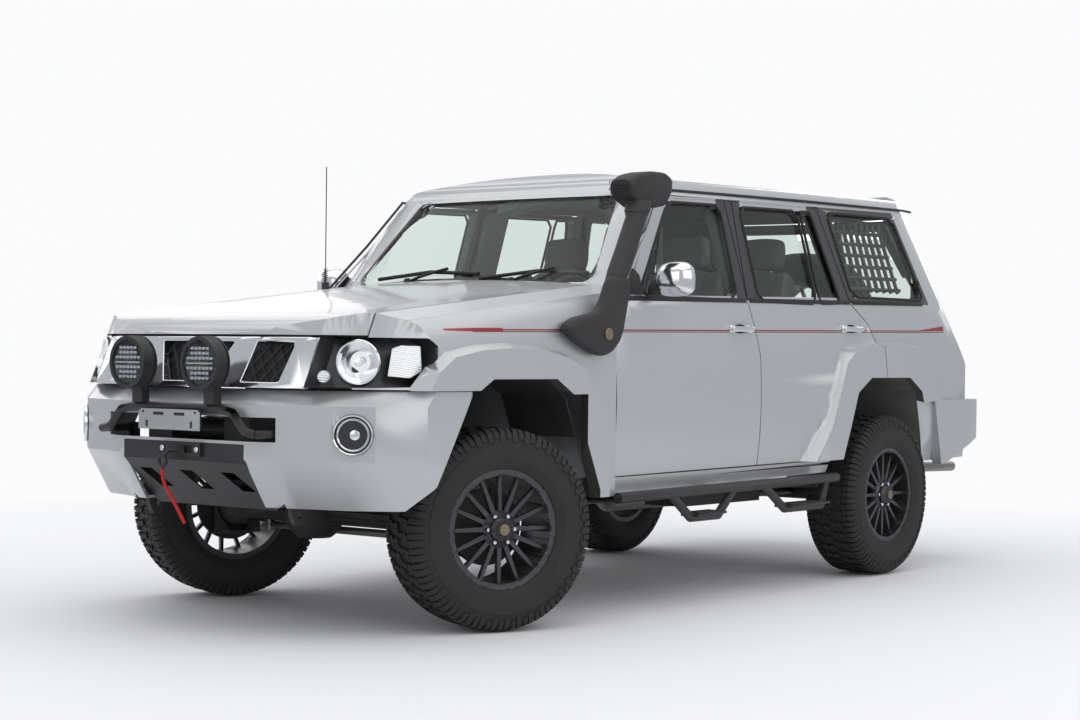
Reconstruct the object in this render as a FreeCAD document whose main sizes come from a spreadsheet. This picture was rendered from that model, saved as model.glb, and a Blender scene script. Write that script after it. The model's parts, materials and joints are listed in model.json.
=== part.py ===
"""Lifted off-road 4x4: a four-door estate body on a ladder frame with live axles.

Lengths are millimetres.  X runs from the nose to the tail, Y to the vehicle's right and Z up.
The outlines are drawn from the front axle line and the ground, and every sub-part is then
placed so that the origin is on the ground under the middle of the vehicle.
"""
import FreeCAD
import Part
import Sketcher
import math
import os
from FreeCAD import Placement, Rotation, Vector

SIZES = {
    # stance and running gear
    "wheelbase": 2970,
    "tyre_radius": 407,
    "tyre_width": 286,
    "wheel_centre_y": 826,
    "kingpin_y": 684,
    "rest_steer": 22,
    "rim_radius": 243,
    "body_slope": 0.0207,
    "gap": 6,
    "seat_gap": 0.3,
    # body section at the front axle line, half widths and heights
    "side_y": 918,
    "side_z": 950,
    "waist_y": 912,
    "waist_z": 1150,
    "belt_y": 886,
    "belt_z": 1322,
    "gutter_y": 752,
    "gutter_z": 1806,
    "roof_edge_y": 640,
    "roof_edge_z": 1876,
    "roof_z": 1932,
    "sill_y": 872,
    "sill_z": 486,
    "sill_turn_y": 906,
    "sill_turn_z": 700,
    "sill_in_y": 790,
    "floor_z": 566,
    "floor_sheet": 50,
    "door_wall": 50,
    "core_depth": 58,
    "skin": 16,
    "post_depth": 100,
    # length marks of the body
    "cabin_front": 600,
    "screen_foot_x": 640,
    "screen_foot_z": 1300,
    "screen_lean": 0.895,
    "screen_bow": 34,
    "screen_half": 640,
    "pillar_turn_x": 38,
    "pillar_turn_y": 760,
    "pillar_side_x": 130,
    "pillar_side_y": 905,
    "header_x": 1134,
    "header_z": 1842,
    "header_crown_x": 1225,
    "header_crown_z": 1906,
    "roof_front_x": 1400,
    "roof_front_z": 1962,
    "roof_rear_x": 3120,
    "roof_rear_z": 1998,
    "roof_crown_x": 3460,
    "roof_crown_z": 1988,
    "roof_tail_x": 3760,
    "roof_tail_z": 1925,
    "tail_x": 4000,
    "tail_bow": 26,
    "tail_half": 700,
    "tail_corner_x": 3940,
    "tail_corner_y": 862,
    "tail_side_x": 3790,
    "tail_side_y": 925,
    "tail_low_z": 1300,
    "tail_high_z": 2000,
    "back_low_x": 3942,
    "back_high_x": 3688,
    "back_low_bow": 54,
    "back_high_bow": 61,
    "back_low_half": 729,
    "back_high_half": 534,
    "back_low_corner_x": 3728,
    "back_low_corner_y": 882,
    "back_high_corner_x": 3467,
    "back_high_corner_y": 676,
    "back_low_side_x": 3485,
    "back_low_side_y": 916,
    "back_high_side_x": 3246,
    "back_high_side_y": 726,
    "belt_line_z": 1316,
    # tail doors
    "tail_door_low_z": 905,
    "tail_door_half": 716,
    "tail_door_top_half": 528,
    "tail_door_top_z": 1858,
    "tail_door_belt_half": 700,
    "tail_opening_top_half": 560,
    "tail_split_y": -143,
    "tail_window_low_z": 1405,
    "tail_window_top_z": 1800,
    "tail_window_side": 60,
    "spare_x": 4190,
    "spare_y": 290,
    "spare_z": 1312,
    "screen_low_z": 1418,
    "screen_low_half": 705,
    "screen_top_z": 1822,
    "screen_top_half": 590,
    "lamp_low_z": 916,
    "lamp_high_z": 1343,
    "lamp_high_x": 3822,
    "lamp_low_x": 3884,
    "lamp_y": 728,
    "lamp_depth": 60,
    # front clip
    "nose_x": -862,
    "nose_z": 1165,
    "nose_lean": 0.45,
    "lamp_in_y": 600,
    "lamp_in_x": -800,
    "nose_mid_y": 330,
    "nose_mid_x": -852,
    "corner_y": 800,
    "corner_x": -655,
    "wing_front_x": -470,
    "wing_y": 916,
    "bonnet_slope": 0.114,
    "bonnet_mid_z": 1356,
    "bonnet_edge_y": 752,
    "bonnet_edge_z": 1328,
    "shoulder_foot_z": 1130,
    "shoulder_turn_y": 896,
    "shoulder_turn_z": 1220,
    "shoulder_y": 840,
    "shoulder_z": 1292,
    "bonnet_rear_x": 660,
    "bonnet_skin": 20,
    "nose_top_x": -820,
    "nose_top_z": 1200,
    "brow_x": -690,
    "brow_z": 1250,
    "crest_x": -373,
    "crest_z": 1311,
    "grille_low_z": 962,
    "grille_top_z": 1158,
    "clip_low_z": 505,
    # doors
    "door_front_x": 662,
    "door_low_z": 577,
    "door_low_slope": 0.0085,
    "door_mid_x": 1818,
    "door_waist_x": 1790,
    "door_waist_z": 1100,
    "door_belt_x": 1722,
    "door_top_x": 1706,
    "door_rear_top_x": 1768,
    "hinge_relief": 55,
    "box_inset": 14,
    "opening_step": 25,
    "door_head_z": 1798,
    "pillar_foot_x": 735,
    "pillar_foot_z": 1352,
    "pillar_top_x": 1172,
    "rear_door_top_x": 2546,
    "rear_door_belt_x": 2664,
    "rear_door_hip_x": 2805,
    "rear_door_hip_z": 1278,
    "rear_door_end_x": 2900,
    "rear_door_end_z": 1150,
    # side windows
    "window_top_z": 1772,
    "window_low_z": 1346,
    "front_window_top_x": 1235,
    "front_window_foot_x": 852,
    "front_window_rear_top_x": 1655,
    "front_window_rear_x": 1640,
    "rear_window_front_x": 1824,
    "rear_window_top_x": 2468,
    "rear_window_rear_x": 2575,
    "quarter_front_top_x": 2625,
    "quarter_front_x": 2695,
    "quarter_rear_top_x": 3290,
    "quarter_rear_x": 3438,
    "window_round": 22,
    "glass_depth": 10,
    "glass_thick": 5,
    # arches
    "arch_half": 500,
    "arch_low_z": 540,
    "arch_knee_half": 400,
    "arch_knee_z": 760,
    "arch_top_half": 200,
    "arch_top_z": 1003,
    "arch_eye_half": 330,
    "arch_eye_z": 930,
    "house_depth": 530,
    "house_wall": 22,
    "flare_y": 958,
    "flare_seat_y": 880,
    "flare_pull": 0.93,
    # bumpers and what they carry
    "bumper_x": -958,
    "bumper_flat_y": 370,
    "bumper_flat_x": -950,
    "bumper_end_y": 490,
    "bumper_end_x": -906,
    "bumper_fog_x": -842,
    "bumper_fog_y": 698,
    "bumper_corner_x": -740,
    "bumper_corner_y": 832,
    "bumper_wing_x": -560,
    "bumper_wing_y": 932,
    "bumper_tip_x": -300,
    "bumper_tip_y": 944,
    "bumper_top_z": 955,
    "bumper_shelf_z": 898,
    "bumper_shelf_lean": 0.9,
    "bumper_tuck_z": 690,
    "bumper_tuck_lean": 0.62,
    "bumper_low_z": 500,
    "bumper_sheet": 12,
    "bumper_back_x": -312,
    "bumper_back_z": 938,
    "bumper_cut_x": -508,
    "bumper_cut_z": 582,
    "bumper_heel_x": -600,
    "bay_front_x": -790,
    "slot_half": 476,
    "slot_low_z": 757,
    "slot_high_z": 850,
    "guard_half": 345,
    "guard_top_z": 745,
    "guard_knee_z": 672,
    "guard_foot_x": -765,
    "guard_foot_z": 484,
    "guard_sheet": 8,
    "hoop_radius": 17,
    "hoop_x": -985,
    "hoop_top_z": 878,
    "hoop_top_half": 250,
    "hoop_foot_half": 440,
    "hoop_foot_z": 786,
    "spot_face_x": -1059,
    "spot_y": 207,
    "spot_z": 1053,
    "spot_radius": 103,
    "spot_depth": 92,
    "fog_z": 792,
    "fog_radius": 78,
    "hook_x": -1004,
    "hook_y": 56,
    "hook_z": 668,
    "hook_radius": 20,
    "hook_thick": 8,
    "strap_radius": 7,
    "rear_bumper_x": 4118,
    "rear_bumper_low_z": 556,
    "rear_bumper_top_z": 884,
    # chassis
    "rail_y": 410,
    "rail_width": 80,
    "rail_low_z": 440,
    "rail_high_z": 560,
    "rail_kick": 180,
    "cargo_floor_x": 2400,
    "cargo_floor_z": 830,
    "tunnel_half": 500,
    "tie_arm": 150,
    "tie_drop": 85,
    "tie_radius": 17,
    "tie_pin": 10,
    "tow_plate": 20,
    "tow_eye_x": -725,
    "tow_eye_z": 466,
    "tow_eye_bore": 14,
    "tongue_x": 4150,
    "tongue_thick": 16,
    "tongue_bore": 13,
    "coil_radius": 58,
    "damper_radius": 24,
    "axle_radius": 48,
    "diff_offset": 210,
    "diff_radius": 130,
    "swivel_radius": 88,
    "knuckle_half": 120,
    "brake_radius": 155,
    "brake_inset": 62,
    "spindle_radius": 28,
    # wheels
    "bead_radius": 228,
    "bead_half": 108,
    "lip_half": 122,
    "barrel_wall": 12,
    "tread_depth": 13,
    "crown_half": 112,
    "shoulder_half": 132,
    "shoulder_radius": 380,
    "bulge_radius": 318,
    "lug_length": 62,
    "lug_count": 20,
    "lug_in_half": 40,
    "lug_low_radius": 350,
    "hub_radius": 74,
    "hub_face": 92,
    "cap_radius": 44,
    "cap_face": 128,
    "spoke_count": 16,
    "spoke_width": 13,
    "spoke_depth": 24,
    # outside fittings
    "step_y": 958,
    "step_z": 505,
    "step_radius": 24,
    "step_front_x": 622,
    "step_rear_x": 2425,
    "tread_low_z": 388,
    "snorkel_x": 560,
    "snorkel_wide": 150,
    "snorkel_thick": 66,
    "snorkel_foot_z": 1330,
    "snorkel_top_z": 1760,
    "snorkel_lean": 0.82,
    "mirror_x": 868,
    "mirror_y": 915,
    "mirror_wide": 205,
    "mirror_z": 1352,
    "mirror_high": 165,
    "mirror_deep": 100,
    "aerial_x": 627,
    "aerial_y": 775,
    "aerial_top_z": 1975,
}


class Size:
    """A number that carries the formula it comes from, so that objects can be bound to it."""

    def __init__(self, value, formula):
        self.value = float(value)
        self.formula = formula

    def __add__(self, other):
        other = as_size(other)
        return Size(self.value + other.value, f"({self.formula} + {other.formula})")

    def __sub__(self, other):
        other = as_size(other)
        return Size(self.value - other.value, f"({self.formula} - {other.formula})")

    def __mul__(self, other):
        other = as_size(other)
        return Size(self.value * other.value, f"({self.formula} * {other.formula})")

    def __truediv__(self, other):
        other = as_size(other)
        return Size(self.value / other.value, f"({self.formula} / {other.formula})")

    def __radd__(self, other):
        return as_size(other) + self

    def __rsub__(self, other):
        return as_size(other) - self

    def __rmul__(self, other):
        return as_size(other) * self

    def __neg__(self):
        return Size(-self.value, f"(0 - {self.formula})")


def as_size(value):
    return value if isinstance(value, Size) else Size(value, f"({float(value):g})")


def sine(angle):
    return Size(math.sin(math.radians(angle.value)), f"sin({angle.formula})")


def cosine(angle):
    return Size(math.cos(math.radians(angle.value)), f"cos({angle.formula})")


doc = FreeCAD.newDocument("offroad_4x4")
sheet = doc.addObject("Spreadsheet::Sheet", "dims")


class Dimensions:
    """The sheet's cells by name."""

    def __init__(self, sizes):
        for row, (name, value) in enumerate(sizes.items(), 1):
            sheet.set(f"A{row}", name)
            sheet.set(f"B{row}", str(value))
            sheet.setAlias(f"B{row}", name)
            setattr(self, name, Size(value, f"dims.{name}"))


D = Dimensions(SIZES)
doc.recompute()


# Drawing and solid helpers

TURNS = {
    "XY": Rotation(),
    "XZ": Rotation(Vector(1, 0, 0), 90),
    "YZ": Rotation(Vector(1, 1, 1), 120),
}
NORMAL_AXIS = {"XY": "z", "XZ": "y", "YZ": "x"}
AXES = {"x": Vector(1, 0, 0), "y": Vector(0, 1, 0), "z": Vector(0, 0, 1)}


class Via(tuple):
    """A point that the arc between its two neighbours in an outline passes through."""


def via(a, b):
    return Via((a, b))


def bind(thing, name, size):
    thing.setExpression(name, as_size(size).formula)


def place(thing, x=0, y=0, z=0):
    for axis, size in (("x", x), ("y", y), ("z", z)):
        bind(thing, f"Placement.Base.{axis}", size)
    return thing


def end_at(sketch, index, point):
    """Which end of an edge of the sketch lies on the point: 1 for its start, 2 for its end."""
    start = sketch.Geometry[index].StartPoint
    return 1 if (start - point).Length < 1e-4 else 2


def pin(sketch, index, end, point):
    """Ties a point of the sketch to its two sizes."""
    for kind, size in zip(("DistanceX", "DistanceY"), point):
        number = sketch.addConstraint(Sketcher.Constraint(kind, -1, 1, index, end, as_size(size).value))
        bind(sketch, f"Constraints[{number}]", size)


def draw(sketch, points, closed=True):
    """Draws lines and arcs through the points, each point tied to its sizes."""
    corners = [p for p in points if not isinstance(p, Via)]
    flat = [Vector(as_size(a).value, as_size(b).value, 0) for a, b in corners]
    crowns = {}
    count = -1
    for point in points:
        if isinstance(point, Via):
            crowns[count] = point
        else:
            count += 1
    edges = len(corners) if closed else len(corners) - 1
    base = sketch.GeometryCount
    for i in range(edges):
        start = flat[i]
        end = flat[(i + 1) % len(flat)]
        if i in crowns:
            middle = Vector(*[as_size(c).value for c in crowns[i]], 0)
            if (middle - start).cross(end - middle).z < 0:
                start, end = end, start
            sketch.addGeometry(Part.Arc(start, middle, end), False)
        else:
            sketch.addGeometry(Part.LineSegment(start, end), False)
    for i in range(edges):
        first = end_at(sketch, base + i, flat[i])
        pin(sketch, base + i, first, corners[i])
        if i > 0:
            before = base + i - 1
            sketch.addConstraint(
                Sketcher.Constraint("Coincident", base + i, first, before, end_at(sketch, before, flat[i])))
    last = base + edges - 1
    if closed:
        sketch.addConstraint(Sketcher.Constraint(
            "Coincident", last, end_at(sketch, last, flat[0]), base, end_at(sketch, base, flat[0])))
    else:
        pin(sketch, last, end_at(sketch, last, flat[-1]), corners[-1])
    for i, crown in crowns.items():
        middle = Vector(*[as_size(c).value for c in crown], 0)
        point = sketch.addGeometry(Part.Point(middle), True)
        sketch.addConstraint(Sketcher.Constraint("PointOnObject", point, 1, base + i))
        pin(sketch, point, 1, crown)
    return sketch


def outline(name, plane, points, at=0, closed=True):
    sketch = doc.addObject("Sketcher::SketchObject", name)
    sketch.Placement = Placement(Vector(), TURNS[plane])
    bind(sketch, f"Placement.Base.{NORMAL_AXIS[plane]}", at)
    return draw(sketch, points, closed)


def grown(name, source, distance, join=2):
    """The outline moved out by a distance, or in where it is negative, with sharp corners."""
    thing = doc.addObject("Part::Offset2D", name)
    thing.Source = source
    thing.Join = join
    bind(thing, "Value", distance)
    return thing


def rounded(name, source, radius):
    """The outline with its outer corners rounded: moved in sharp and out again round."""
    inner = grown(name + "_in", source, -radius)
    return grown(name, inner, radius, 0)


def extruded(name, source, vector):
    """The closed outline drawn out along a vector of three sizes."""
    thing = doc.addObject("Part::Extrusion", name)
    thing.Base = source
    thing.DirMode = "Custom"
    thing.LengthFwd = 0
    thing.LengthRev = 0
    thing.Solid = True
    thing.Dir = Vector(*[as_size(size).value for size in vector])
    for axis, size in zip("xyz", vector):
        bind(thing, f"Dir.{axis}", size)
    return thing


def prism(name, plane, points, start, end, radius=None, lean=(0, 0), grow=None):
    """An outline drawn out from one offset of its plane to another, leaning where asked."""
    source = outline(name + "_outline", plane, points, start)
    if grow is not None:
        source = grown(name + "_grown", source, grow)
    if radius is not None:
        source = rounded(name + "_round", source, radius)
    length = as_size(end) - as_size(start)
    tilt = [length * lean[0], length * lean[1]]
    spot = "xyz".index(NORMAL_AXIS[plane])
    tilt.insert(spot, length)
    return extruded(name, source, tilt)


def loft(name, sections, ruled=True):
    thing = doc.addObject("Part::Loft", name)
    thing.Sections = sections
    thing.Solid = True
    thing.Ruled = ruled
    return thing


def common(name, *things):
    thing = doc.addObject("Part::MultiCommon", name)
    thing.Shapes = list(things)
    return thing


def fused(name, *things):
    thing = doc.addObject("Part::MultiFuse", name)
    thing.Shapes = list(things)
    thing.Refine = True
    return thing


def cut(name, base, *tools):
    thing = doc.addObject("Part::Cut", name)
    thing.Base = base
    thing.Tool = tools[0] if len(tools) == 1 else gathered(name + "_tools", *tools)
    return thing


def gathered(name, *things):
    thing = doc.addObject("Part::Compound", name)
    thing.Links = list(things)
    return thing


def mirrored(name, source):
    thing = doc.addObject("Part::Mirroring", name)
    thing.Source = source
    thing.Normal = Vector(0, 1, 0)
    return thing


def pair(name, source):
    """The left piece with its mirror image on the right, as two solids."""
    return gathered(name, source, mirrored(name + "_right", source))


def box(name, start, end):
    """A block from one corner to the opposite one."""
    thing = doc.addObject("Part::Box", name)
    place(thing, *start)
    for prop, a, b in zip(("Length", "Width", "Height"), start, end):
        bind(thing, prop, as_size(b) - as_size(a))
    return thing


def turned(thing, axis, angle=90):
    thing.Placement = Placement(thing.Placement.Base, Rotation(AXES[axis], angle))
    return thing


AXIS_TURN = {"x": Rotation(Vector(0, 1, 0), 90), "y": Rotation(Vector(1, 0, 0), -90), "z": Rotation()}


def disc(name, centre, radius, length, axis="y"):
    """A cylinder that starts at its centre point and runs along the axis."""
    thing = doc.addObject("Part::Cylinder", name)
    thing.Placement = Placement(Vector(), AXIS_TURN[axis])
    place(thing, *centre)
    bind(thing, "Radius", radius)
    bind(thing, "Height", length)
    return thing


def rod(name, start, end, radius):
    """A round bar between two points."""
    thing = doc.addObject("Part::Cylinder", name)
    a = Vector(*[as_size(size).value for size in start])
    b = Vector(*[as_size(size).value for size in end])
    thing.Placement = Placement(Vector(), Rotation(AXES["z"], b - a))
    place(thing, *start)
    bind(thing, "Radius", radius)
    spans = [as_size(q) - as_size(p) for p, q in zip(start, end)]
    squares = " + ".join(f"{span.formula} ^ 2" for span in spans)
    thing.setExpression("Height", f"sqrt({squares})")
    return thing


def tube(name, plane, points, radius, at=0):
    """A round bar swept along an open outline of lines and arcs in a plane."""
    path = outline(name + "_path", plane, points, at, closed=False)
    ring = doc.addObject("Part::Circle", name + "_ring")
    bind(ring, "Radius", radius)
    ends = [Vector(as_size(a).value, as_size(b).value, 0) for a, b in points[:2]]
    ring.Placement = Placement(
        path.Placement.multVec(ends[0]) + AXES[NORMAL_AXIS[plane]] * as_size(at).value,
        Rotation(AXES["z"], TURNS[plane].multVec(ends[1] - ends[0])))
    thing = doc.addObject("Part::Sweep", name)
    thing.Sections = [ring]
    corners = [p for p in points if not isinstance(p, Via)]
    thing.Spine = (path, [f"Edge{i + 1}" for i in range(len(corners) - 1)])
    thing.Solid = True
    thing.Frenet = False
    thing.Transition = "Round corner"
    return thing


def cord(name, plane, route, radius, at):
    """A hanging cord: straight runs joined by arcs as wide as the runs allow."""
    points = [route[0]]
    for before, corner, after in zip(route, route[1:], route[2:]):
        back = math.dist(before, corner)
        ahead = math.dist(corner, after)
        trim = 0.45 * min(back, ahead)
        enter = [c + (b - c) * trim / back for b, c in zip(before, corner)]
        leave = [c + (a - c) * trim / ahead for a, c in zip(after, corner)]
        middle = [(e + f) / 2 for e, f in zip(enter, leave)]
        spread = math.acos(sum((b - c) * (a - c) for b, c, a in zip(before, corner, after)) / back / ahead)
        share = math.sin(spread / 2) / (1 + math.sin(spread / 2))
        crown = [m + (c - m) * share for m, c in zip(middle, corner)]
        points += [enter, via(*crown), leave]
        print(f"{name} arc radius {trim * math.tan(spread / 2):.1f}")
    return tube(name, plane, points + [route[-1]], radius, at)


NODES = {}


def slope_z(height, x):
    """A height of the body given at the front axle line, at x further back."""
    return height + D.body_slope * x


# Body volumes: the same closed form at several depths below the outer skin

REACH = 1200
LOW = 300
HIGH = 2200


def both_sides(half):
    """A half outline from the centre line out, closed by its mirror image."""
    other = [type(p)((-p[0], p[1])) if isinstance(p, Via) else (-p[0], p[1]) for p in reversed(half)]
    return half + other


def body_section(name, inset, outer):
    """Cross section: sills, curved sides, leaned windows, rain gutter and crowned roof."""
    if outer:
        foot = [
            (D.sill_in_y, D.floor_z),
            (D.sill_in_y, D.sill_z),
            (D.sill_y, D.sill_z),
            via(D.sill_turn_y, D.sill_turn_z),
        ]
    else:
        foot = [(D.sill_y + D.box_inset - inset, LOW), (D.sill_turn_y - inset, D.sill_turn_z)]
    half = foot + [
        (D.side_y - inset, D.side_z),
        via(D.waist_y - inset, D.waist_z),
        (D.belt_y - inset, D.belt_z),
        (D.gutter_y - inset, D.gutter_z - inset * 0.3),
        via(
            (D.gutter_y + D.roof_edge_y) / 2 + 18 - inset * 0.8,
            (D.gutter_z + D.roof_edge_z) / 2 + 14 - inset * 0.8),
        (D.roof_edge_y - inset * 0.3, D.roof_edge_z - inset),
    ]
    crown = [via(0, D.roof_z - inset)]
    other = [via(-p[0], p[1]) if isinstance(p, Via) else (-p[0], p[1]) for p in reversed(half)]
    return prism(name, "YZ", half + crown + other, 0, D.tail_x + 300, lean=(0, D.body_slope))


def body_side(name, inset):
    """Side view of the cabin: front wall, roof line and tail."""
    front = D.cabin_front + inset
    points = [
        (front, LOW),
        (front, D.header_z - inset),
        (D.header_x + inset * 0.5, D.header_z - inset),
        via(D.header_crown_x + inset * 0.3, D.header_crown_z - inset),
        (D.roof_front_x, D.roof_front_z - inset),
        (D.roof_rear_x, D.roof_rear_z - inset),
        via(D.roof_crown_x - inset * 0.2, D.roof_crown_z - inset),
        (D.roof_tail_x - inset, D.roof_tail_z - inset),
        (D.tail_x + REACH, D.roof_tail_z - inset - 100),
        (D.tail_x + REACH, LOW),
    ]
    return prism(name, "XZ", points, -REACH, REACH)


def screen_plan(name, inset):
    """Everything behind the bowed, leaned windscreen and its pillars."""
    lean = D.screen_lean
    foot = D.screen_foot_x + inset * 1.34 + lean * (LOW - D.screen_foot_z)
    points = [
        (foot, -D.screen_half),
        via(foot - D.screen_bow, 0),
        (foot, D.screen_half),
        via(foot + D.pillar_turn_x, D.pillar_turn_y),
        (foot + D.pillar_side_x, D.pillar_side_y),
        (foot + D.wheelbase * 2, REACH),
        (foot + D.wheelbase * 2, -REACH),
        (foot + D.pillar_side_x, -D.pillar_side_y),
        via(foot + D.pillar_turn_x, -D.pillar_turn_y),
    ]
    return prism(name, "XY", points, LOW, HIGH, lean=(lean, 0))


def tail_plan(name, inset):
    """Everything ahead of the upright lower tail with its rounded corners."""
    half = [
        (-500, REACH),
        (D.tail_side_x - 400, REACH),
        (D.tail_side_x, D.tail_side_y - inset),
        via(D.tail_corner_x - inset * 0.7, D.tail_corner_y - inset * 0.7),
        (D.tail_x - D.tail_bow - inset, D.tail_half),
        via(D.tail_x - inset, 0),
    ]
    other = [via(p[0], -p[1]) if isinstance(p, Via) else (p[0], -p[1]) for p in reversed(half[:-1])]
    return prism(name, "XY", half + other, LOW, HIGH)


def back_plan(name, inset):
    """Everything ahead of the leaned, wrapped rear of the window storey."""
    levels = []
    for key, level in (("low", D.tail_low_z), ("high", D.tail_high_z)):
        size = {part: getattr(D, f"back_{key}_{part}") for part in (
            "x", "bow", "half", "corner_x", "corner_y", "side_x", "side_y")}
        half = [
            (-500, REACH),
            (size["side_x"] - 500, REACH),
            (size["side_x"], size["side_y"] - inset),
            via(size["corner_x"] - inset * 0.5, size["corner_y"] - inset * 0.85),
            (size["x"] - size["bow"] - inset, size["half"] - inset * 0.3),
            via(size["x"] - inset, 0),
        ]
        other = [via(p[0], -p[1]) if isinstance(p, Via) else (p[0], -p[1]) for p in reversed(half[:-1])]
        levels.append((level, half + other))
    (low, low_points), (high, high_points) = levels
    drop = (low - LOW) / (high - low)
    foot_points = []
    for a, b in zip(low_points, high_points):
        foot = (a[0] + (as_size(a[0]) - b[0]) * drop, a[1] + (as_size(a[1]) - b[1]) * drop)
        foot_points.append(Via(foot) if isinstance(a, Via) else foot)
    sections = [
        outline(f"{name}_low", "XY", foot_points, LOW), outline(f"{name}_high", "XY", high_points, high)]
    return loft(name, sections)


def body_volume(name, inset, outer=False):
    inset = as_size(inset)
    return common(
        name,
        body_section(name + "_section", inset, outer),
        body_side(name + "_side", inset),
        screen_plan(name + "_screen", inset),
        tail_plan(name + "_tail", inset),
        back_plan(name + "_back", inset),
    )


# Cabin, doors and glass

body_outer = body_volume("outer", 0, True)
body_skin = body_volume("skin", D.skin)
body_wall = body_volume("wall", D.door_wall)
body_core = body_volume("core", D.core_depth)
body_post = body_volume("post", D.post_depth)
glass_out = body_volume("glass_out", D.glass_depth)
glass_in = body_volume("glass_in", D.glass_depth + D.glass_thick)

LEFT = -REACH
INNER = -400


def door_z(x):
    return D.door_low_z + D.door_low_slope * x


def arch_outline(centre_x):
    """The wheel opening: upright legs, raised knees and a flat crown."""
    half = [
        (D.arch_half, LOW),
        (D.arch_half, D.arch_low_z),
        (D.arch_knee_half, D.arch_knee_z),
        (D.arch_eye_half, D.arch_eye_z),
        (D.arch_top_half, D.arch_top_z),
    ]
    front = [(centre_x - dx, z) for dx, z in half]
    rear = [(centre_x + dx, z) for dx, z in reversed(half)]
    return front + rear


front_door_points = [
    (D.door_front_x, door_z(D.door_front_x)),
    (D.door_front_x, D.pillar_foot_z - D.pillar_foot_x + D.door_front_x),
    (D.pillar_foot_x, D.pillar_foot_z),
    (D.pillar_top_x, slope_z(D.door_head_z, D.pillar_top_x)),
    (D.door_top_x, slope_z(D.door_head_z, D.door_top_x)),
    (D.door_belt_x, slope_z(D.belt_line_z, D.door_belt_x)),
    (D.door_waist_x, D.door_waist_z),
    (D.door_mid_x, door_z(D.door_mid_x)),
]
rear_door_points = [
    (D.door_mid_x, door_z(D.door_mid_x)),
    (D.door_waist_x, D.door_waist_z),
    (D.door_belt_x, slope_z(D.belt_line_z, D.door_belt_x)),
    (D.door_rear_top_x, slope_z(D.door_head_z, D.door_rear_top_x)),
    (D.rear_door_top_x, slope_z(D.door_head_z, D.rear_door_top_x)),
    (D.rear_door_belt_x, slope_z(D.belt_line_z, D.rear_door_belt_x)),
    (D.rear_door_hip_x, D.rear_door_hip_z),
    (D.rear_door_end_x, D.rear_door_end_z),
    (D.rear_door_end_x + 40, D.arch_top_z - 40),
    (D.rear_door_end_x, door_z(D.wheelbase)),
]
front_window_points = [
    (D.front_window_foot_x, slope_z(D.window_low_z, D.front_window_foot_x)),
    (D.front_window_top_x, slope_z(D.window_top_z, D.front_window_top_x)),
    (D.front_window_rear_top_x, slope_z(D.window_top_z, D.front_window_rear_top_x)),
    (D.front_window_rear_x, slope_z(D.window_low_z, D.front_window_rear_x)),
]
rear_window_points = [
    (D.rear_window_front_x, slope_z(D.window_low_z, D.rear_window_front_x)),
    (D.rear_window_front_x, slope_z(D.window_top_z, D.rear_window_front_x)),
    (D.rear_window_top_x, slope_z(D.window_top_z, D.rear_window_top_x)),
    (D.rear_window_rear_x, slope_z(D.window_low_z, D.rear_window_rear_x)),
]
quarter_window_points = [
    (D.quarter_front_x, slope_z(D.window_low_z, D.quarter_front_x)),
    (D.quarter_front_top_x, slope_z(D.window_top_z, D.quarter_front_top_x)),
    (D.quarter_rear_top_x, slope_z(D.window_top_z, D.quarter_rear_top_x)),
    (D.quarter_rear_x, slope_z(D.window_low_z + 90, D.quarter_rear_x)),
    (D.quarter_rear_x - 50, slope_z(D.window_low_z, D.quarter_rear_x)),
]
front_arch = arch_outline(as_size(0))
rear_arch = arch_outline(D.wheelbase)


def side_prism(name, points, start=LEFT, end=INNER, **options):
    """A cutter through the left side of the body, outlined in the side view."""
    return prism(name, "XZ", points, start, end, **options)


def window_cut(name, points):
    return side_prism(name, points, radius=D.window_round)


def window_glass(name, points):
    """A pane in its opening, as a slice of the body's own curved volume."""
    layer = cut(name + "_layer", glass_out, glass_in)
    edge = side_prism(name + "_edge", points, grow=-D.seat_gap, radius=D.window_round)
    return common(name, layer, edge)


def door(name, points, relief, windows, tools):
    """A door: an outer skin over a narrower box, with its windows cut."""
    half_gap = D.gap / 2
    leaf = side_prism(name + "_leaf", points, grow=-half_gap)
    inner = side_prism(name + "_inner", points, grow=-half_gap - D.box_inset)
    skin = common(name + "_skin", cut(name + "_sheet", body_outer, body_skin), leaf)
    block = common(name + "_block", cut(name + "_depth", body_skin, body_wall), inner)
    block = cut(name + "_box", block, side_prism(name + "_relief", relief))
    whole = fused(name + "_whole", skin, block)
    holes = [window_cut(f"{name}_window{i + 1}", window) for i, window in enumerate(windows)]
    return cut(name, whole, *holes, *tools)


def swept_back(points, shift):
    """A strip that follows an edge and runs a given way behind it."""
    back = [(x + shift, z) for x, z in reversed(points)]
    return [(x - shift, z) for x, z in points] + back


front_relief = swept_back(
    [(D.door_front_x, as_size(LOW)), front_door_points[1], front_door_points[2], front_door_points[3],
     (D.pillar_top_x + 60, slope_z(D.door_head_z + 60, D.pillar_top_x))],
    D.hinge_relief)
rear_relief = swept_back(
    [(D.door_mid_x, as_size(LOW)), rear_door_points[0], rear_door_points[1], rear_door_points[2],
     rear_door_points[3], (D.door_rear_top_x, as_size(HIGH))],
    D.hinge_relief)

front_arch_cut = side_prism("front_arch_cut", front_arch, end=-D.house_depth)
rear_arch_cut = side_prism("rear_arch_cut", rear_arch, end=-D.house_depth)
front_door = door("front_door", front_door_points, front_relief, [front_window_points], [])
rear_door = door("rear_door", rear_door_points, rear_relief, [rear_window_points], [rear_arch_cut])

# The shell keeps the walls, floor, roof and pillars, with both wheel houses let in at the tail.
floor_top = D.floor_z + D.floor_sheet


def floor_at(x):
    return slope_z(floor_top, x)


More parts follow.
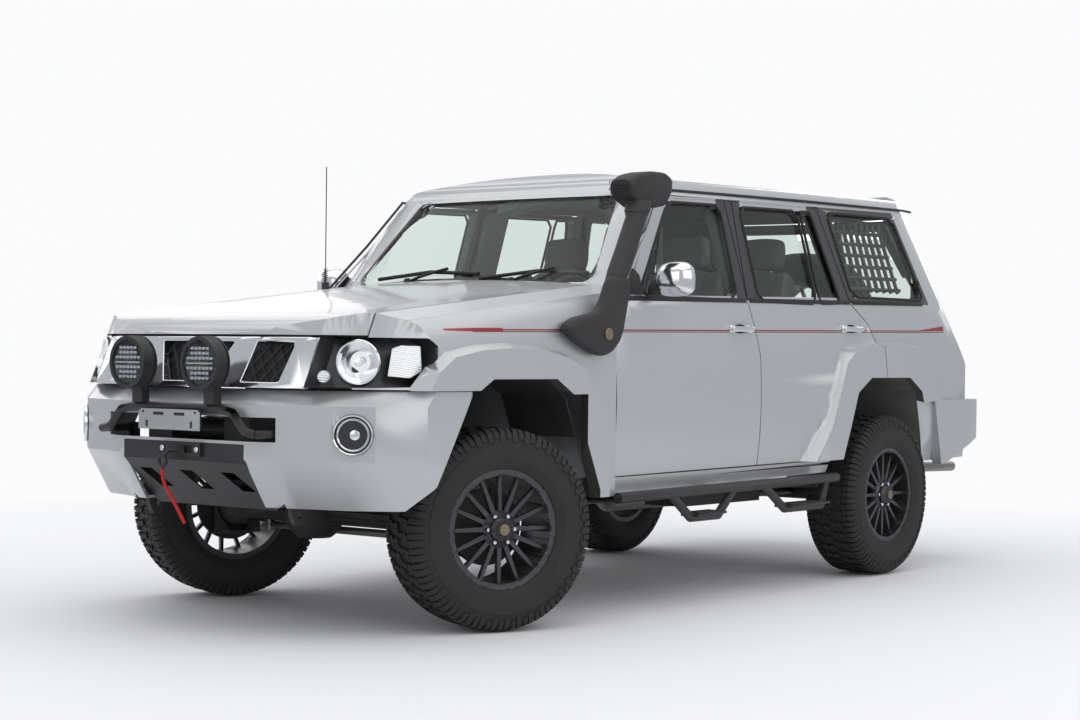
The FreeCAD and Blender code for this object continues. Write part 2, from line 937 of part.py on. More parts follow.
def above_floors(name, drop=0):
    """The space over the cabin floor and the raised cargo floor, or a sheet's depth below it."""
    points = [
        (-500, floor_at(-500) - drop),
        (D.cargo_floor_x + drop, floor_at(D.cargo_floor_x) - drop),
        (D.cargo_floor_x + drop, D.cargo_floor_z - drop),
        (D.tail_x + 400, D.cargo_floor_z - drop),
        (D.tail_x + 400, HIGH),
        (-500, HIGH),
    ]
    return prism(name, "XZ", points, -REACH, REACH)


cavity = common("cavity", body_wall, above_floors("above_floor"))
tunnel = cut(
    "tunnel",
    box(
        "tunnel_block",
        (D.cargo_floor_x - 100, -D.tunnel_half, LOW),
        (D.tail_x + 100, D.tunnel_half, D.cargo_floor_z)),
    above_floors("above_tunnel", D.floor_sheet))
hollow = cut("hollow", body_outer, cavity, tunnel)
house_block = side_prism("house_block", rear_arch, end=-D.house_depth + D.house_wall, grow=D.house_wall)
house = common(
    "house", body_wall, house_block, box("house_limit", (0, LEFT, D.floor_z), (D.tail_x + 400, 0, HIGH)))
post_block = box("post_block", (D.door_top_x - 20, LEFT, D.floor_z), (D.door_mid_x + 30, 40, HIGH))
post = common("post", cut("post_layer", body_core, body_post), post_block)
doorways = []
for label, points in (("front", front_door_points), ("rear", rear_door_points)):
    opening = side_prism(f"{label}_opening", points, grow=D.gap / 2)
    wide = side_prism(f"{label}_wide", points, grow=D.opening_step)
    doorways.append(cut(f"{label}_clear", opening, body_core))
    doorways.append(common(f"{label}_step", cut(f"{label}_step_depth", body_skin, body_core), wide))
quarter_cut = window_cut("quarter_cut", quarter_window_points)
shell_walls = fused("shell_walls", hollow, pair("houses", house), pair("posts", post))


def cross_prism(name, points, start, end, **options):
    """A cutter along the vehicle, outlined in the front view."""
    return prism(name, "YZ", points, start, end, **options)


def trapezoid(low_half, low_z, high_half, high_z):
    return [(-low_half, low_z), (low_half, low_z), (high_half, high_z), (-high_half, high_z)]


screen_points = trapezoid(D.screen_low_half, D.screen_low_z, D.screen_top_half, D.screen_top_z)
screen_cut = cross_prism("screen_cut", screen_points, D.cabin_front - 100, D.header_x + 90, radius=40)
tail_opening_points = [
    (-D.tail_door_half, D.tail_door_low_z),
    (D.tail_door_half, D.tail_door_low_z),
    (D.tail_door_belt_half, D.screen_foot_z + 50),
    (D.tail_opening_top_half, D.tail_door_top_z),
    (-D.tail_opening_top_half, D.tail_door_top_z),
    (-D.tail_door_belt_half, D.screen_foot_z + 50),
]
tail_reach = D.tail_x - 500
tail_opening = cut(
    "tail_opening",
    cross_prism("tail_opening_block", tail_opening_points, tail_reach, D.tail_x + 100, grow=D.gap / 2),
    body_core)
tail_step = common(
    "tail_step",
    cut("tail_step_depth", body_skin, body_core),
    cross_prism("tail_step_block", tail_opening_points, tail_reach, D.tail_x + 100, grow=D.opening_step))
lamp_points = [
    (D.lamp_low_x, D.lamp_low_z),
    (D.lamp_high_x, D.lamp_high_z),
    (D.tail_x + 100, D.lamp_high_z),
    (D.tail_x + 100, D.lamp_low_z),
]
lamp_block = side_prism("lamp_block", lamp_points, end=-D.lamp_y)
lamp_depths = body_volume("lamp_inner", D.lamp_depth)
lamp = cut("lamp", common("lamp_form", body_outer, lamp_block), lamp_depths)
lamp_recess = cut(
    "lamp_recess",
    side_prism("lamp_recess_block", lamp_points, end=-D.lamp_y + D.seat_gap, grow=D.seat_gap),
    body_volume("lamp_seat", D.lamp_depth + D.seat_gap))


def clip_volume(name, inset):
    """The closed form of the bonnet, wings and nose at a depth below its skin."""
    start = as_size(-1100)
    drop = D.bonnet_slope * start
    half = [
        (D.wing_y - inset, LOW - 200),
        (D.wing_y - inset, D.shoulder_foot_z + drop),
        via(D.shoulder_turn_y - inset * 0.9, D.shoulder_turn_z - inset * 0.4 + drop),
        (D.shoulder_y - inset * 0.6, D.shoulder_z - inset * 0.8 + drop),
        (D.bonnet_edge_y, D.bonnet_edge_z - inset + drop),
    ]
    crown = [via(0, D.bonnet_mid_z - inset + drop)]
    other = [via(-p[0], p[1]) if isinstance(p, Via) else (-p[0], p[1]) for p in reversed(half)]
    section = prism(
        name + "_section", "YZ", half + crown + other, start, D.cabin_front + 200, lean=(0, D.bonnet_slope))
    top = [
        (start, LOW),
        (start, D.nose_z - 30 - inset),
        (D.nose_x, D.nose_z - inset),
        via(D.nose_top_x + inset * 0.4, D.nose_top_z - inset * 0.9),
        (D.brow_x, D.brow_z - inset),
        (D.crest_x, D.crest_z - inset),
        (D.cabin_front + 200, D.bonnet_mid_z + 150 - inset),
        (D.cabin_front + 200, LOW),
    ]
    side = prism(name + "_side", "XZ", top, -REACH, REACH)
    lean = D.nose_lean
    shift = lean * (LOW - D.nose_z) + inset
    plan = [
        (D.nose_mid_x + shift, D.nose_mid_y),
        (D.lamp_in_x + shift, D.lamp_in_y),
        via(D.corner_x + shift, D.corner_y - inset * 0.5),
        (D.wing_front_x + shift, D.wing_y - inset),
        (D.cabin_front + 800, D.wing_y + 200),
    ]
    other_plan = [via(p[0], -p[1]) if isinstance(p, Via) else (p[0], -p[1]) for p in reversed(plan)]
    nose = prism(
        name + "_nose", "XY", plan + other_plan + [via(D.nose_x + shift, 0)], LOW, HIGH, lean=(lean, 0))
    return common(name, section, side, nose)


clip_outer = clip_volume("clip_outer", as_size(0))
clip_skin = clip_volume("clip_skin", D.skin)
clip_lamp = clip_volume("clip_lamp", as_size(90))
wing_points = [
    (D.nose_x - 100, D.grille_low_z),
    (D.nose_x - 100, HIGH),
    (D.cabin_front + 130, HIGH),
    (D.pillar_foot_x - D.gap, D.pillar_foot_z + 10),
    (D.door_front_x - D.gap / 2, D.pillar_foot_z - D.pillar_foot_x + D.door_front_x + D.gap / 2),
    (D.door_front_x - D.gap / 2, D.clip_low_z),
    (D.arch_half - 60, D.clip_low_z),
    (D.arch_half - 60, D.grille_low_z),
]
head_points = [
    (D.nose_x - 200, D.grille_low_z),
    (-D.arch_half - 10, D.grille_low_z + 12),
    (-D.arch_half + 20, D.grille_top_z - 30),
    (-D.arch_half - 20, D.grille_top_z),
    (D.nose_x - 200, D.grille_top_z),
]
wing_skin = cut("wing_skin", clip_outer, clip_skin)
wing_form = side_prism("wing_form", wing_points, end=-D.bonnet_edge_y - D.gap / 2)
head_cut = side_prism("head_cut", head_points, grow=D.seat_gap)
wing = cut("wing", common("wing_blank", wing_skin, wing_form), front_arch_cut, head_cut)
headlamp = common(
    "headlamp", cut("headlamp_depth", clip_outer, clip_lamp),
    side_prism("head_block", head_points, end=-D.lamp_in_y))
bonnet_plan = [
    (D.nose_x - 200, -D.bonnet_edge_y + D.gap / 2),
    (D.bonnet_rear_x, -D.bonnet_edge_y + D.gap / 2),
    (D.bonnet_rear_x, D.bonnet_edge_y - D.gap / 2),
    (D.nose_x - 200, D.bonnet_edge_y - D.gap / 2),
]
bonnet = common(
    "bonnet",
    cut("bonnet_sheet", clip_outer, clip_volume("clip_bonnet", D.bonnet_skin)),
    prism("bonnet_plan", "XY", bonnet_plan, D.grille_top_z + 8, HIGH))

shell = cut(
    "shell", shell_walls,
    pair("doorways", gathered("doorways_left", *doorways)),
    pair("rear_arches", rear_arch_cut),
    pair("quarter_cuts", quarter_cut),
    pair("lamp_recesses", lamp_recess),
    pair(
        "wing_seats", side_prism("wing_seat", wing_points, end=-D.wing_y + D.skin + D.gap, grow=D.gap / 2)),
    screen_cut, tail_opening, tail_step)


# Tail doors

def tail_door(name, side):
    """One leaf of the rear doors; the wide right one also carries the spare wheel's bracket."""
    split = D.tail_split_y
    points = [
        (D.tail_door_half * side, D.tail_door_low_z),
        (D.tail_door_belt_half * side, D.screen_foot_z + 50),
        (D.tail_door_top_half * side, D.tail_door_top_z),
        (split, D.tail_door_top_z),
        (split, D.tail_door_low_z),
    ]
    margin = D.tail_window_side * side
    window = [
        (D.tail_door_belt_half * side - margin, D.tail_window_low_z),
        (D.tail_door_top_half * side - margin, D.tail_window_top_z),
        (split + margin * 0.8, D.tail_window_top_z),
        (split + margin * 0.8, D.tail_window_low_z),
    ]
    reach = D.tail_x + 100
    leaf = cross_prism(name + "_leaf", points, tail_reach, reach, grow=-D.gap / 2)
    inner = cross_prism(name + "_inner", points, tail_reach, reach, grow=-D.gap / 2 - D.box_inset)
    relief_edge = [(D.tail_door_half * side, as_size(LOW))] + points[:3] + [
        (D.tail_door_top_half * side, as_size(HIGH))]
    relief_points = [(y + 20 * side, z) for y, z in relief_edge]
    relief_points += [(y - D.hinge_relief * side, z) for y, z in reversed(relief_edge)]
    skin = common(name + "_skin", tail_sheet, leaf)
    block = common(name + "_block", tail_depth, inner)
    block = cut(name + "_box", block, cross_prism(name + "_relief", relief_points, tail_reach, reach))
    hole = cross_prism(name + "_window", window, tail_reach, reach, radius=D.window_round)
    leaf_pieces = [skin, block]
    if side > 0:
        plate = disc(
            "spare_plate", (D.tail_x - 60, D.spare_y, D.spare_z), 110, D.spare_x - D.tail_x - 20, "x")
        stub_x = D.tail_x + 100
        stub = disc(
            "spare_stub", (stub_x, D.spare_y, D.spare_z), 60,
            D.spare_x + D.hub_face - 40 - D.seat_gap - stub_x, "x")
        leaf_pieces.append(cut("spare_bracket", fused("spare_carrier", plate, stub), body_wall))
    whole = cut(name, fused(name + "_whole", *leaf_pieces), hole)
    pane_edge = cross_prism(
        name + "_pane", window, tail_reach, reach, grow=-D.seat_gap, radius=D.window_round)
    return whole, common(name + "_glass", glass_layer, pane_edge)


tail_sheet = cut("tail_sheet", body_outer, body_skin)
tail_depth = cut("tail_depth", body_skin, body_wall)
glass_layer = cut("glass_layer", glass_out, glass_in)
tail_door_left, tail_glass_left = tail_door("tail_door_left", -1)
tail_door_right, tail_glass_right = tail_door("tail_door_right", 1)

front_glass = window_glass("front_glass", front_window_points)
rear_glass = window_glass("rear_glass", rear_window_points)
quarter_glass = window_glass("quarter_glass", quarter_window_points)
screen_glass = common(
    "screen_glass", glass_layer,
    cross_prism("screen_edge", screen_points, D.cabin_front - 100,
        D.header_x + 90, grow=-D.seat_gap, radius=40))

# Flares

front_flare_points = [
    (-627, 964), (-560, 1060), (-460, 1123), (-298, 1151), (-88, 1164), (132, 1156),
    (299, 1125), (425, 1074), (523, 931), (583, 756), (608, 500), (440, 500), (440, 964),
]
rear_flare_points = [
    (2196, 598), (2346, 776), (2432, 962), (2494, 1111), (2573, 1165), (2708, 1194),
    (3133, 1207), (3312, 1188), (3450, 1117), (3550, 900), (3300, 890), (2700, 598),
]


def flare(name, points, centre, arch, inner):
    """A raised brim round a wheel opening, drawn from the body out to a smaller face."""
    pull = D.flare_pull
    face = [
        (centre[0] + (x - as_size(centre[0])) * pull, centre[1] + (z - as_size(centre[1])) * pull)
        for x, z in points]
    base = outline(name + "_base", "XZ", [(as_size(x), as_size(z)) for x, z in points], -D.flare_seat_y)
    outer = outline(name + "_face", "XZ", face, -D.flare_y)
    return cut(name, loft(name + "_loft", [base, outer]), arch, inner)


front_flare = cut(
    "front_flare_trimmed",
    flare("front_flare", front_flare_points, (0, 620), front_arch_cut, clip_outer),
    box("flare_trim", (D.nose_x, LEFT, LOW), (-250, 0, D.bumper_top_z + D.gap / 2)))
rear_flare = flare("rear_flare", rear_flare_points, (D.wheelbase, 620), rear_arch_cut, body_outer)
door_flare = common(
    "door_flare", rear_flare, side_prism("door_flare_edge", rear_door_points, grow=-D.gap / 2))
body_flare = cut("body_flare", rear_flare, side_prism("body_flare_edge", rear_door_points, grow=D.gap / 2))
rear_door = fused("rear_door_flared", rear_door, door_flare)


# Bumpers

def bumper_volume(name, inset):
    """Winch bumper form: bowed face, wrapped wings, sloped shelf above and tuck below."""
    def plan(key, level, lean, start, end):
        shift = lean * (as_size(start) - level) + inset
        half = [
            (D.bumper_flat_x + shift, D.bumper_flat_y),
            (D.bumper_end_x + shift, D.bumper_end_y),
            (D.bumper_fog_x + shift, D.bumper_fog_y - inset * 0.4),
            (D.bumper_corner_x + shift, D.bumper_corner_y - inset * 0.7),
            (D.bumper_wing_x + shift, D.bumper_wing_y - inset),
            (D.bumper_tip_x + shift, D.bumper_tip_y - inset),
            (D.bumper_tip_x + 900, D.bumper_tip_y - inset),
        ]
        other = [(x, -y) for x, y in reversed(half)]
        return prism(f"{name}_{key}", "XY", half + other, start, end, lean=(lean, 0))
    return common(
        name,
        plan("face", D.bumper_top_z, as_size(0), D.bumper_low_z + inset, D.bumper_top_z - inset),
        plan("shelf", D.bumper_shelf_z, D.bumper_shelf_lean, D.bumper_low_z - 100, D.bumper_top_z + 100),
        plan("tuck", D.bumper_tuck_z, -D.bumper_tuck_lean, D.bumper_low_z - 100, D.bumper_top_z + 100))


bumper_rear_points = [
    (D.bumper_back_x, D.bumper_top_z + 100),
    (D.bumper_back_x, D.bumper_back_z),
    (D.bumper_cut_x, D.bumper_cut_z),
    (D.bumper_heel_x, D.bumper_low_z - 10),
    (D.cabin_front, D.bumper_low_z - 10),
    (D.cabin_front, D.bumper_top_z + 100),
]
bumper_form = bumper_volume("bumper_form", as_size(0))
bumper_inner = bumper_volume("bumper_inner", D.bumper_sheet)
bumper_rear_cut = prism("bumper_rear_cut", "XZ", bumper_rear_points, -REACH, REACH)
slot_cut = box(
    "slot_cut",
    (D.bumper_x - 100, -D.slot_half, D.slot_low_z),
    (D.bumper_heel_x, D.slot_half, D.slot_high_z))
guard_gap = box(
    "guard_gap", (D.bumper_x - 100, -D.guard_half - D.seat_gap, D.bumper_low_z - 50),
    (D.bumper_heel_x, D.guard_half + D.seat_gap, D.guard_top_z + D.seat_gap))
back_box = box(
    "back_box", (D.bay_front_x, -D.lamp_in_y - 90, D.bumper_tuck_z),
    (D.cabin_front, D.lamp_in_y + 90, D.bumper_top_z + 10))
eye_slots = pair("eye_slots", box(
    "eye_slot", (D.tow_eye_x - 95, -D.rail_y - 25, D.bumper_low_z - 20),
    (D.tow_eye_x + 105, -D.rail_y + 25, D.bumper_low_z + 30)))


def fog_point(depth):
    """A point that deep behind the middle of the left bumper facet, square to it."""
    return (
        (D.bumper_fog_x + D.bumper_corner_x) / 2 + depth * 0.796,
        (D.bumper_fog_y + D.bumper_corner_y) / -2 + depth * 0.606, D.fog_z)


fog_holes = pair("fog_holes", rod("fog_hole", fog_point(-60), fog_point(90), D.fog_radius))
front_bumper = cut(
    "front_bumper_cut", bumper_form, bumper_inner,
    bumper_rear_cut, slot_cut, guard_gap, back_box, fog_holes,
    eye_slots)

guard_profile = [
    (D.bumper_flat_x, D.guard_top_z),
    (D.bumper_flat_x, D.guard_knee_z),
    (D.guard_foot_x, D.guard_foot_z),
    (D.guard_foot_x + 40, D.guard_foot_z),
    (D.guard_foot_x + 40, D.guard_foot_z + D.guard_sheet),
    (D.guard_foot_x + 4, D.guard_foot_z + D.guard_sheet),
    (D.bumper_flat_x + D.guard_sheet, D.guard_knee_z + 4),
    (D.bumper_flat_x + D.guard_sheet, D.guard_top_z),
]
guard_blank = prism("guard_blank", "XZ", guard_profile, -D.guard_half, D.guard_half)
guard_slots = []
for index in range(3):
    middle = (index - 1) * 236
    slot_points = [(middle - 11, 631), (middle + 64, 631), (middle + 11, 556), (middle - 64, 556)]
    guard_slots.append(cross_prism(f"guard_slot{index + 1}", slot_points, D.bumper_x - 50, D.guard_foot_x))
bumper_guard = cut("guard", guard_blank, *guard_slots)

hoop_foot = [(-D.hoop_foot_half, D.hoop_foot_z), (-D.hoop_foot_half + 55, D.hoop_foot_z + 12)]
hoop_rise = [(-D.hoop_top_half - 70, D.hoop_top_z - 12), (-D.hoop_top_half, D.hoop_top_z)]
hoop_left = hoop_foot + hoop_rise
hoop_bow = tube(
    "hoop_bow", "YZ", hoop_left + [(-y, z) for y, z in reversed(hoop_left)], D.hoop_radius, D.hoop_x)
hoop_leg_x = -815
hoop_legs = [hoop_bow]
for side in (-1, 1):
    foot_y = D.hoop_foot_half * side
    label = "left" if side < 0 else "right"
    hoop_legs.append(rod(
        f"hoop_back_{label}", (D.hoop_x, foot_y, D.hoop_foot_z),
        (hoop_leg_x, foot_y, D.hoop_foot_z), D.hoop_radius - 1))
    hoop_legs.append(disc(
        f"hoop_post_{label}", (hoop_leg_x, foot_y, D.rail_low_z + D.rail_kick + 120 + D.seat_gap), 22,
        D.hoop_foot_z - D.rail_low_z - D.rail_kick - 100 - D.seat_gap, "z"))


def spot_lamp(name, y):
    body = disc(name + "_body", (D.spot_face_x, y, D.spot_z), D.spot_radius, D.spot_depth * 0.55, "x")
    back = disc(
        name + "_back",
        (D.spot_face_x + D.spot_depth * 0.55, y, D.spot_z), D.spot_radius * 0.72, D.spot_depth * 0.45, "x")
    dish = disc(name + "_dish", (D.spot_face_x - 1, y, D.spot_z), D.spot_radius * 0.86, 9, "x")
    foot = box(
        name + "_foot",
        (D.hoop_x - 20, y - 28, D.hoop_top_z + D.hoop_radius + D.seat_gap),
        (D.hoop_x + 20, y + 28, D.spot_z - D.spot_radius * 0.6))
    return cut(name, fused(name + "_solid", body, back, foot), dish)


spot_lamps = gathered("spots", spot_lamp("spot_left", -D.spot_y), spot_lamp("spot_right", D.spot_y))
fog_lamps = pair("fogs", fused(
    "fog", rod("fog_ring", fog_point(-5), fog_point(12), D.fog_radius - 1),
    rod("fog_can", fog_point(0), fog_point(64), D.fog_radius - 18)))

bracket = box("bracket", (-1018, -176, 793), (-1012, 176, 873))
bracket_arms = [
    box(f"bracket_arm{i}", (-1014, y - 12, 850), (D.hoop_x, y + 12, 870))
    for i, y in enumerate((-110, 110))]
hoop = fused("hoop", *hoop_legs, bracket, *bracket_arms)

fairlead_back = D.bumper_flat_x - D.seat_gap
fairlead_face = D.bumper_flat_x - 14
fairlead_foot = D.guard_top_z - 55
fairlead_mouths = pair("fairlead_mouths", box(
    "fairlead_mouth", (fairlead_face - 6, -70, fairlead_foot + 12),
    (fairlead_back + 6, -24, fairlead_foot + 42)))
fairlead = cut(
    "fairlead",
    box("fairlead_plate", (fairlead_face, -115, fairlead_foot), (fairlead_back, 115, D.guard_top_z)),
    fairlead_mouths)
hook_tongue = box(
    "hook_tongue", (D.hook_x - 6, -4, D.guard_top_z - 34), (fairlead_face + 4, 24, D.guard_top_z - 8))
hook_link = rod(
    "hook_link", (D.hook_x, 12, D.guard_top_z - 22),
    (D.hook_x, D.hook_y - 6, D.hook_z + D.hook_radius - 1), D.hook_thick)
hook_ring = doc.addObject("Part::Torus", "hook_ring")
bind(hook_ring, "Radius1", D.hook_radius)
bind(hook_ring, "Radius2", D.hook_thick)
hook_ring.Placement = Placement(Vector(), AXIS_TURN["x"])
place(hook_ring, D.hook_x, D.hook_y, D.hook_z)
winch_hook = fused("winch_hook", fairlead, hook_tongue, hook_link, hook_ring)
strap_top = SIZES["hook_z"] - SIZES["hook_radius"] - SIZES["hook_thick"] - SIZES["seat_gap"]
strap_side = SIZES["hook_y"]
strap_route = [
    (strap_side, strap_top), (strap_side, strap_top - 48), (strap_side - 66, strap_top - 118),
    (strap_side - 132, strap_top - 206)]
hook_strap = cord("hook_strap", "YZ", strap_route, D.strap_radius, D.hook_x)
winch_foot = D.rail_low_z + D.rail_kick + 90 + D.seat_gap
winch = fused(
    "winch_solid",
    disc("drum", (-800, -150, 790), 45, 300, "y"),
    box("winch_left", (-870, -290, winch_foot), (-730, -150, 850)),
    box("winch_right", (-870, 150, winch_foot), (-730, 290, 850)))

rear_bumper_points = [
    (3488, D.rear_bumper_top_z), (D.rear_bumper_x + 40, D.rear_bumper_top_z), (D.rear_bumper_x + 40, 700),
    (3907, 645), (3654, D.rear_bumper_low_z), (3570, 540),
]
rear_plan = [
    (3400, 934), (3900, 934), (4030, 905), (4085, 830), (D.rear_bumper_x, 600),
]
rear_bumper_form = common(
    "rear_bumper_form",
    prism("rear_bumper_side", "XZ", rear_bumper_points, -REACH, REACH),
    prism("rear_bumper_plan", "XY", rear_plan + [(x, -y) for x, y in reversed(rear_plan)], 500, 1000))
rear_bumper = cut(
    "rear_bumper_cut", rear_bumper_form, body_outer, pair("rear_bumper_arches", rear_arch_cut),
    box("rear_bumper_hollow", (3300, -880, 500), (D.rear_bumper_x - 14, 880, D.rear_bumper_top_z - 14)))


# Wheels: one tyre and one rim, drawn about the Y axis with the outer face towards -Y

def base_plane(body, role):
    for feature in body.Origin.OriginFeatures:
        if feature.Role == role:
            return feature
    raise ValueError(role)


def body_sketch(body, name, role, points):
    sketch = body.newObject("Sketcher::SketchObject", name)
    sketch.AttachmentSupport = [(base_plane(body, role), "")]
    sketch.MapMode = "FlatFace"
    return draw(sketch, points)


def revolved(body, name, points):
    sketch = body_sketch(body, name + "_outline", "XY_Plane", points)
    turn = body.newObject("PartDesign::Revolution", name)
    turn.Profile = sketch
    turn.ReferenceAxis = (sketch, ["V_Axis"])
    turn.Angle = 360
    return turn


def ring_of(body, name, features, count, start=None):
    pattern = body.newObject("PartDesign::PolarPattern", name)
    pattern.Originals = features
    pattern.Axis = (base_plane(body, "Y_Axis"), [""])
    pattern.Angle = 360
    bind(pattern, "Occurrences", count)
    body.Tip = pattern
    return pattern


def tyre_body():
    body = doc.addObject("PartDesign::Body", "tyre")
    floor = D.tyre_radius - D.tread_depth
    points = [
        (D.bead_radius, -D.bead_half),
        (D.bead_radius + 20, -D.bead_half - 3),
        (D.bulge_radius, -D.tyre_width / 2),
        (D.shoulder_radius, -D.shoulder_half),
        (floor, -D.crown_half),
        (floor, D.crown_half),
        (D.shoulder_radius, D.shoulder_half),
        (D.bulge_radius, D.tyre_width / 2),
        (D.bead_radius + 20, D.bead_half + 3),
        (D.bead_radius, D.bead_half),
    ]
    revolved(body, "carcass", points)
    half = D.lug_length / 2
    crown = Size(
        math.sqrt(D.tyre_radius.value ** 2 - (half.value / 1.6) ** 2),
        f"sqrt({D.tyre_radius.formula} ^ 2 - ({half.formula} / 1.6) ^ 2)")
    for side, label in ((-1, "outer"), (1, "inner")):
        lug = [
            (floor - 8, D.lug_in_half * side),
            (crown, D.lug_in_half * side),
            (crown, (D.shoulder_half - 6) * side),
            (D.lug_low_radius, (D.tyre_width / 2 - 1) * side),
            (D.lug_low_radius - 4, (D.shoulder_half - 14) * side),
        ]
        block = body.newObject("PartDesign::Pad", f"lug_{label}")
        block.Profile = body_sketch(body, f"lug_{label}_outline", "XY_Plane", lug)
        block.Midplane = True
        bind(block, "Length", half * 1.25)
        ring_of(body, f"lugs_{label}", [block], D.lug_count)
    return body


def rim_body():
    body = doc.addObject("PartDesign::Body", "rim")
    seat = D.bead_radius - D.seat_gap
    inner = seat - D.barrel_wall
    barrel = [
        (inner, -D.lip_half + 4),
        (D.rim_radius - 6, -D.lip_half),
        (D.rim_radius, -D.lip_half + 4),
        (D.rim_radius, -D.bead_half - 6),
        (seat, -D.bead_half),
        (seat, D.bead_half),
        (D.rim_radius, D.bead_half + 6),
        (D.rim_radius, D.lip_half),
        (inner, D.lip_half),
    ]
    revolved(body, "barrel", barrel)
    face = D.hub_face
    hub = [
        (D.spindle_radius + 1, -face + 4),
        (D.spindle_radius + 1, -face + 40),
        (D.hub_radius, -face + 40),
        (D.hub_radius, -face),
        (D.cap_radius, -face),
        (D.cap_radius, -D.cap_face),
        (0, -D.cap_face),
        (0, -face + 4),
    ]
    revolved(body, "hub", hub)
    half = D.spoke_width / 2
    spoke = [
        (D.hub_radius - 6, -half * 1.5),
        (inner + 4, -half),
        (inner + 4, half),
        (D.hub_radius - 6, half * 1.5),
    ]
    blade = body.newObject("PartDesign::Pad", "spoke")
    sketch = body_sketch(body, "spoke_outline", "XZ_Plane", spoke)
    bind(sketch, "AttachmentOffset.Base.z", face - 2)
    blade.Profile = sketch
    blade.Reversed = False
    bind(blade, "Length", D.spoke_depth)
    blade.Reversed = True
    ring_of(body, "spokes", [blade], D.spoke_count)
    return body


tyre = tyre_body()
rim = rim_body()


def steered(name, thing, side, turn):
    """A copy of a wheel piece at a front corner, turned about its kingpin."""
    copy = gathered(name, thing)
    copy.Placement = Placement(Vector(), Rotation(AXES["z"], turn.value))
    offset = D.wheel_centre_y - D.kingpin_y
    place(
        copy, -offset * sine(turn) * side, D.kingpin_y * side + offset * cosine(turn) * side, D.tyre_radius)
    return copy


def upright(name, thing, x, y, z=None):
    copy = gathered(name, thing)
    return place(copy, x, y, D.tyre_radius if z is None else z)


# Chassis

def rail(name, side):
    y = D.rail_y * side
    low = D.rail_low_z
    high = D.rail_high_z
    kick = D.rail_kick
    points = [
        (-860, low + kick), (-860, high + kick), (330, high + kick), (590, high), (2400, high),
        (2660, high + kick), (3900, high + kick), (3900, low + kick), (2640, low + kick),
        (2380, low), (560, low), (310, low + kick),
    ]
    start = y - D.rail_width / 2
    return prism(name, "XZ", points, start, start + D.rail_width)


crossmembers = []
for index, (x, lift) in enumerate(((-810, 1), (400, 0.7), (1300, 0), (2560, 0.7), (3380, 1), (3840, 1))):
    base = D.rail_low_z + D.rail_kick * lift
    crossmembers.append(box(
        f"crossmember{index + 1}",
        (x - 45, -D.rail_y, base + 20), (x + 45, D.rail_y, base + 90)))
brackets = []
for side in (-1, 1):
    for index, x in enumerate((790, 2100)):
        brackets.append(box(
            f"arm_bracket_{side + 1}_{index}",
            (x, D.rail_y * side - 30, 372), (x + 55, D.rail_y * side + 30, D.rail_low_z + 5)))
    for index, x in enumerate((700, 1500, 2200)):
        brackets.append(disc(
            f"body_mount_{side + 1}_{index}", (x, D.rail_y * side, D.rail_high_z - 5), 38,
            slope_z(D.floor_z, x) - D.rail_high_z + 4 - D.seat_gap, "z"))
    brackets.append(disc(
        f"tail_mount_{side + 1}", (3300, D.rail_y * side, D.rail_high_z + D.rail_kick - 5), 38,
        D.cargo_floor_z - D.floor_sheet - D.rail_high_z - D.rail_kick + 5 - D.seat_gap, "z"))
frame = fused("frame", rail("rail_left", -1), rail("rail_right", 1), *crossmembers, *brackets)


def axle(name, x, half, cover_side):
    """A live axle: tube, offset differential housing and cover."""
    z = D.tyre_radius
    beam = disc(name + "_tube", (x, -half, z), D.axle_radius, half * 2)
    ball = doc.addObject("Part::Sphere", name + "_case")
    bind(ball, "Radius", D.diff_radius)
    place(ball, x, D.diff_offset, z)
    pinion = disc(
        name + "_pinion", (x, D.diff_offset, z + 8), 62, 300 * cover_side, "x") if cover_side > 0 else \
        disc(name + "_pinion", (x - 300, D.diff_offset, z + 8), 62, 300, "x")
    trim_low = box(
        name + "_trim", (x - 400, D.diff_offset - 400, z - 400),
        (x + 400, D.diff_offset + 400, z - D.diff_radius + 22))
    return beam, cut(name + "_bowl", ball, trim_low), pinion


front_pieces = axle("front_axle", as_size(0), D.kingpin_y - 30, 1)
swivels = []
for side in (-1, 1):
    swivel = doc.addObject("Part::Sphere", f"swivel_{'left' if side < 0 else 'right'}")
    bind(swivel, "Radius", D.swivel_radius)
    place(swivel, 0, D.kingpin_y * side, D.tyre_radius)
    swivels.append(swivel)
front_axle = fused("front_axle_solid", *front_pieces, *swivels)
rear_axle = fused(
    "rear_axle_solid",
    *axle("rear_axle", D.wheelbase, D.wheel_centre_y - D.brake_inset - 8, -1),
    *[disc(f"rear_brake_{i}", (D.wheelbase, y, D.tyre_radius), D.brake_radius, 40) for i, y in enumerate(
        (-D.wheel_centre_y + D.brake_inset - 20, D.wheel_centre_y - D.brake_inset - 20))],
    *[disc(f"rear_spindle_{i}", (D.wheelbase, y, D.tyre_radius),
        D.spindle_radius, D.brake_inset + D.hub_face - 6)
      for i, y in enumerate((-D.wheel_centre_y - D.hub_face + 6, D.wheel_centre_y - D.brake_inset))])


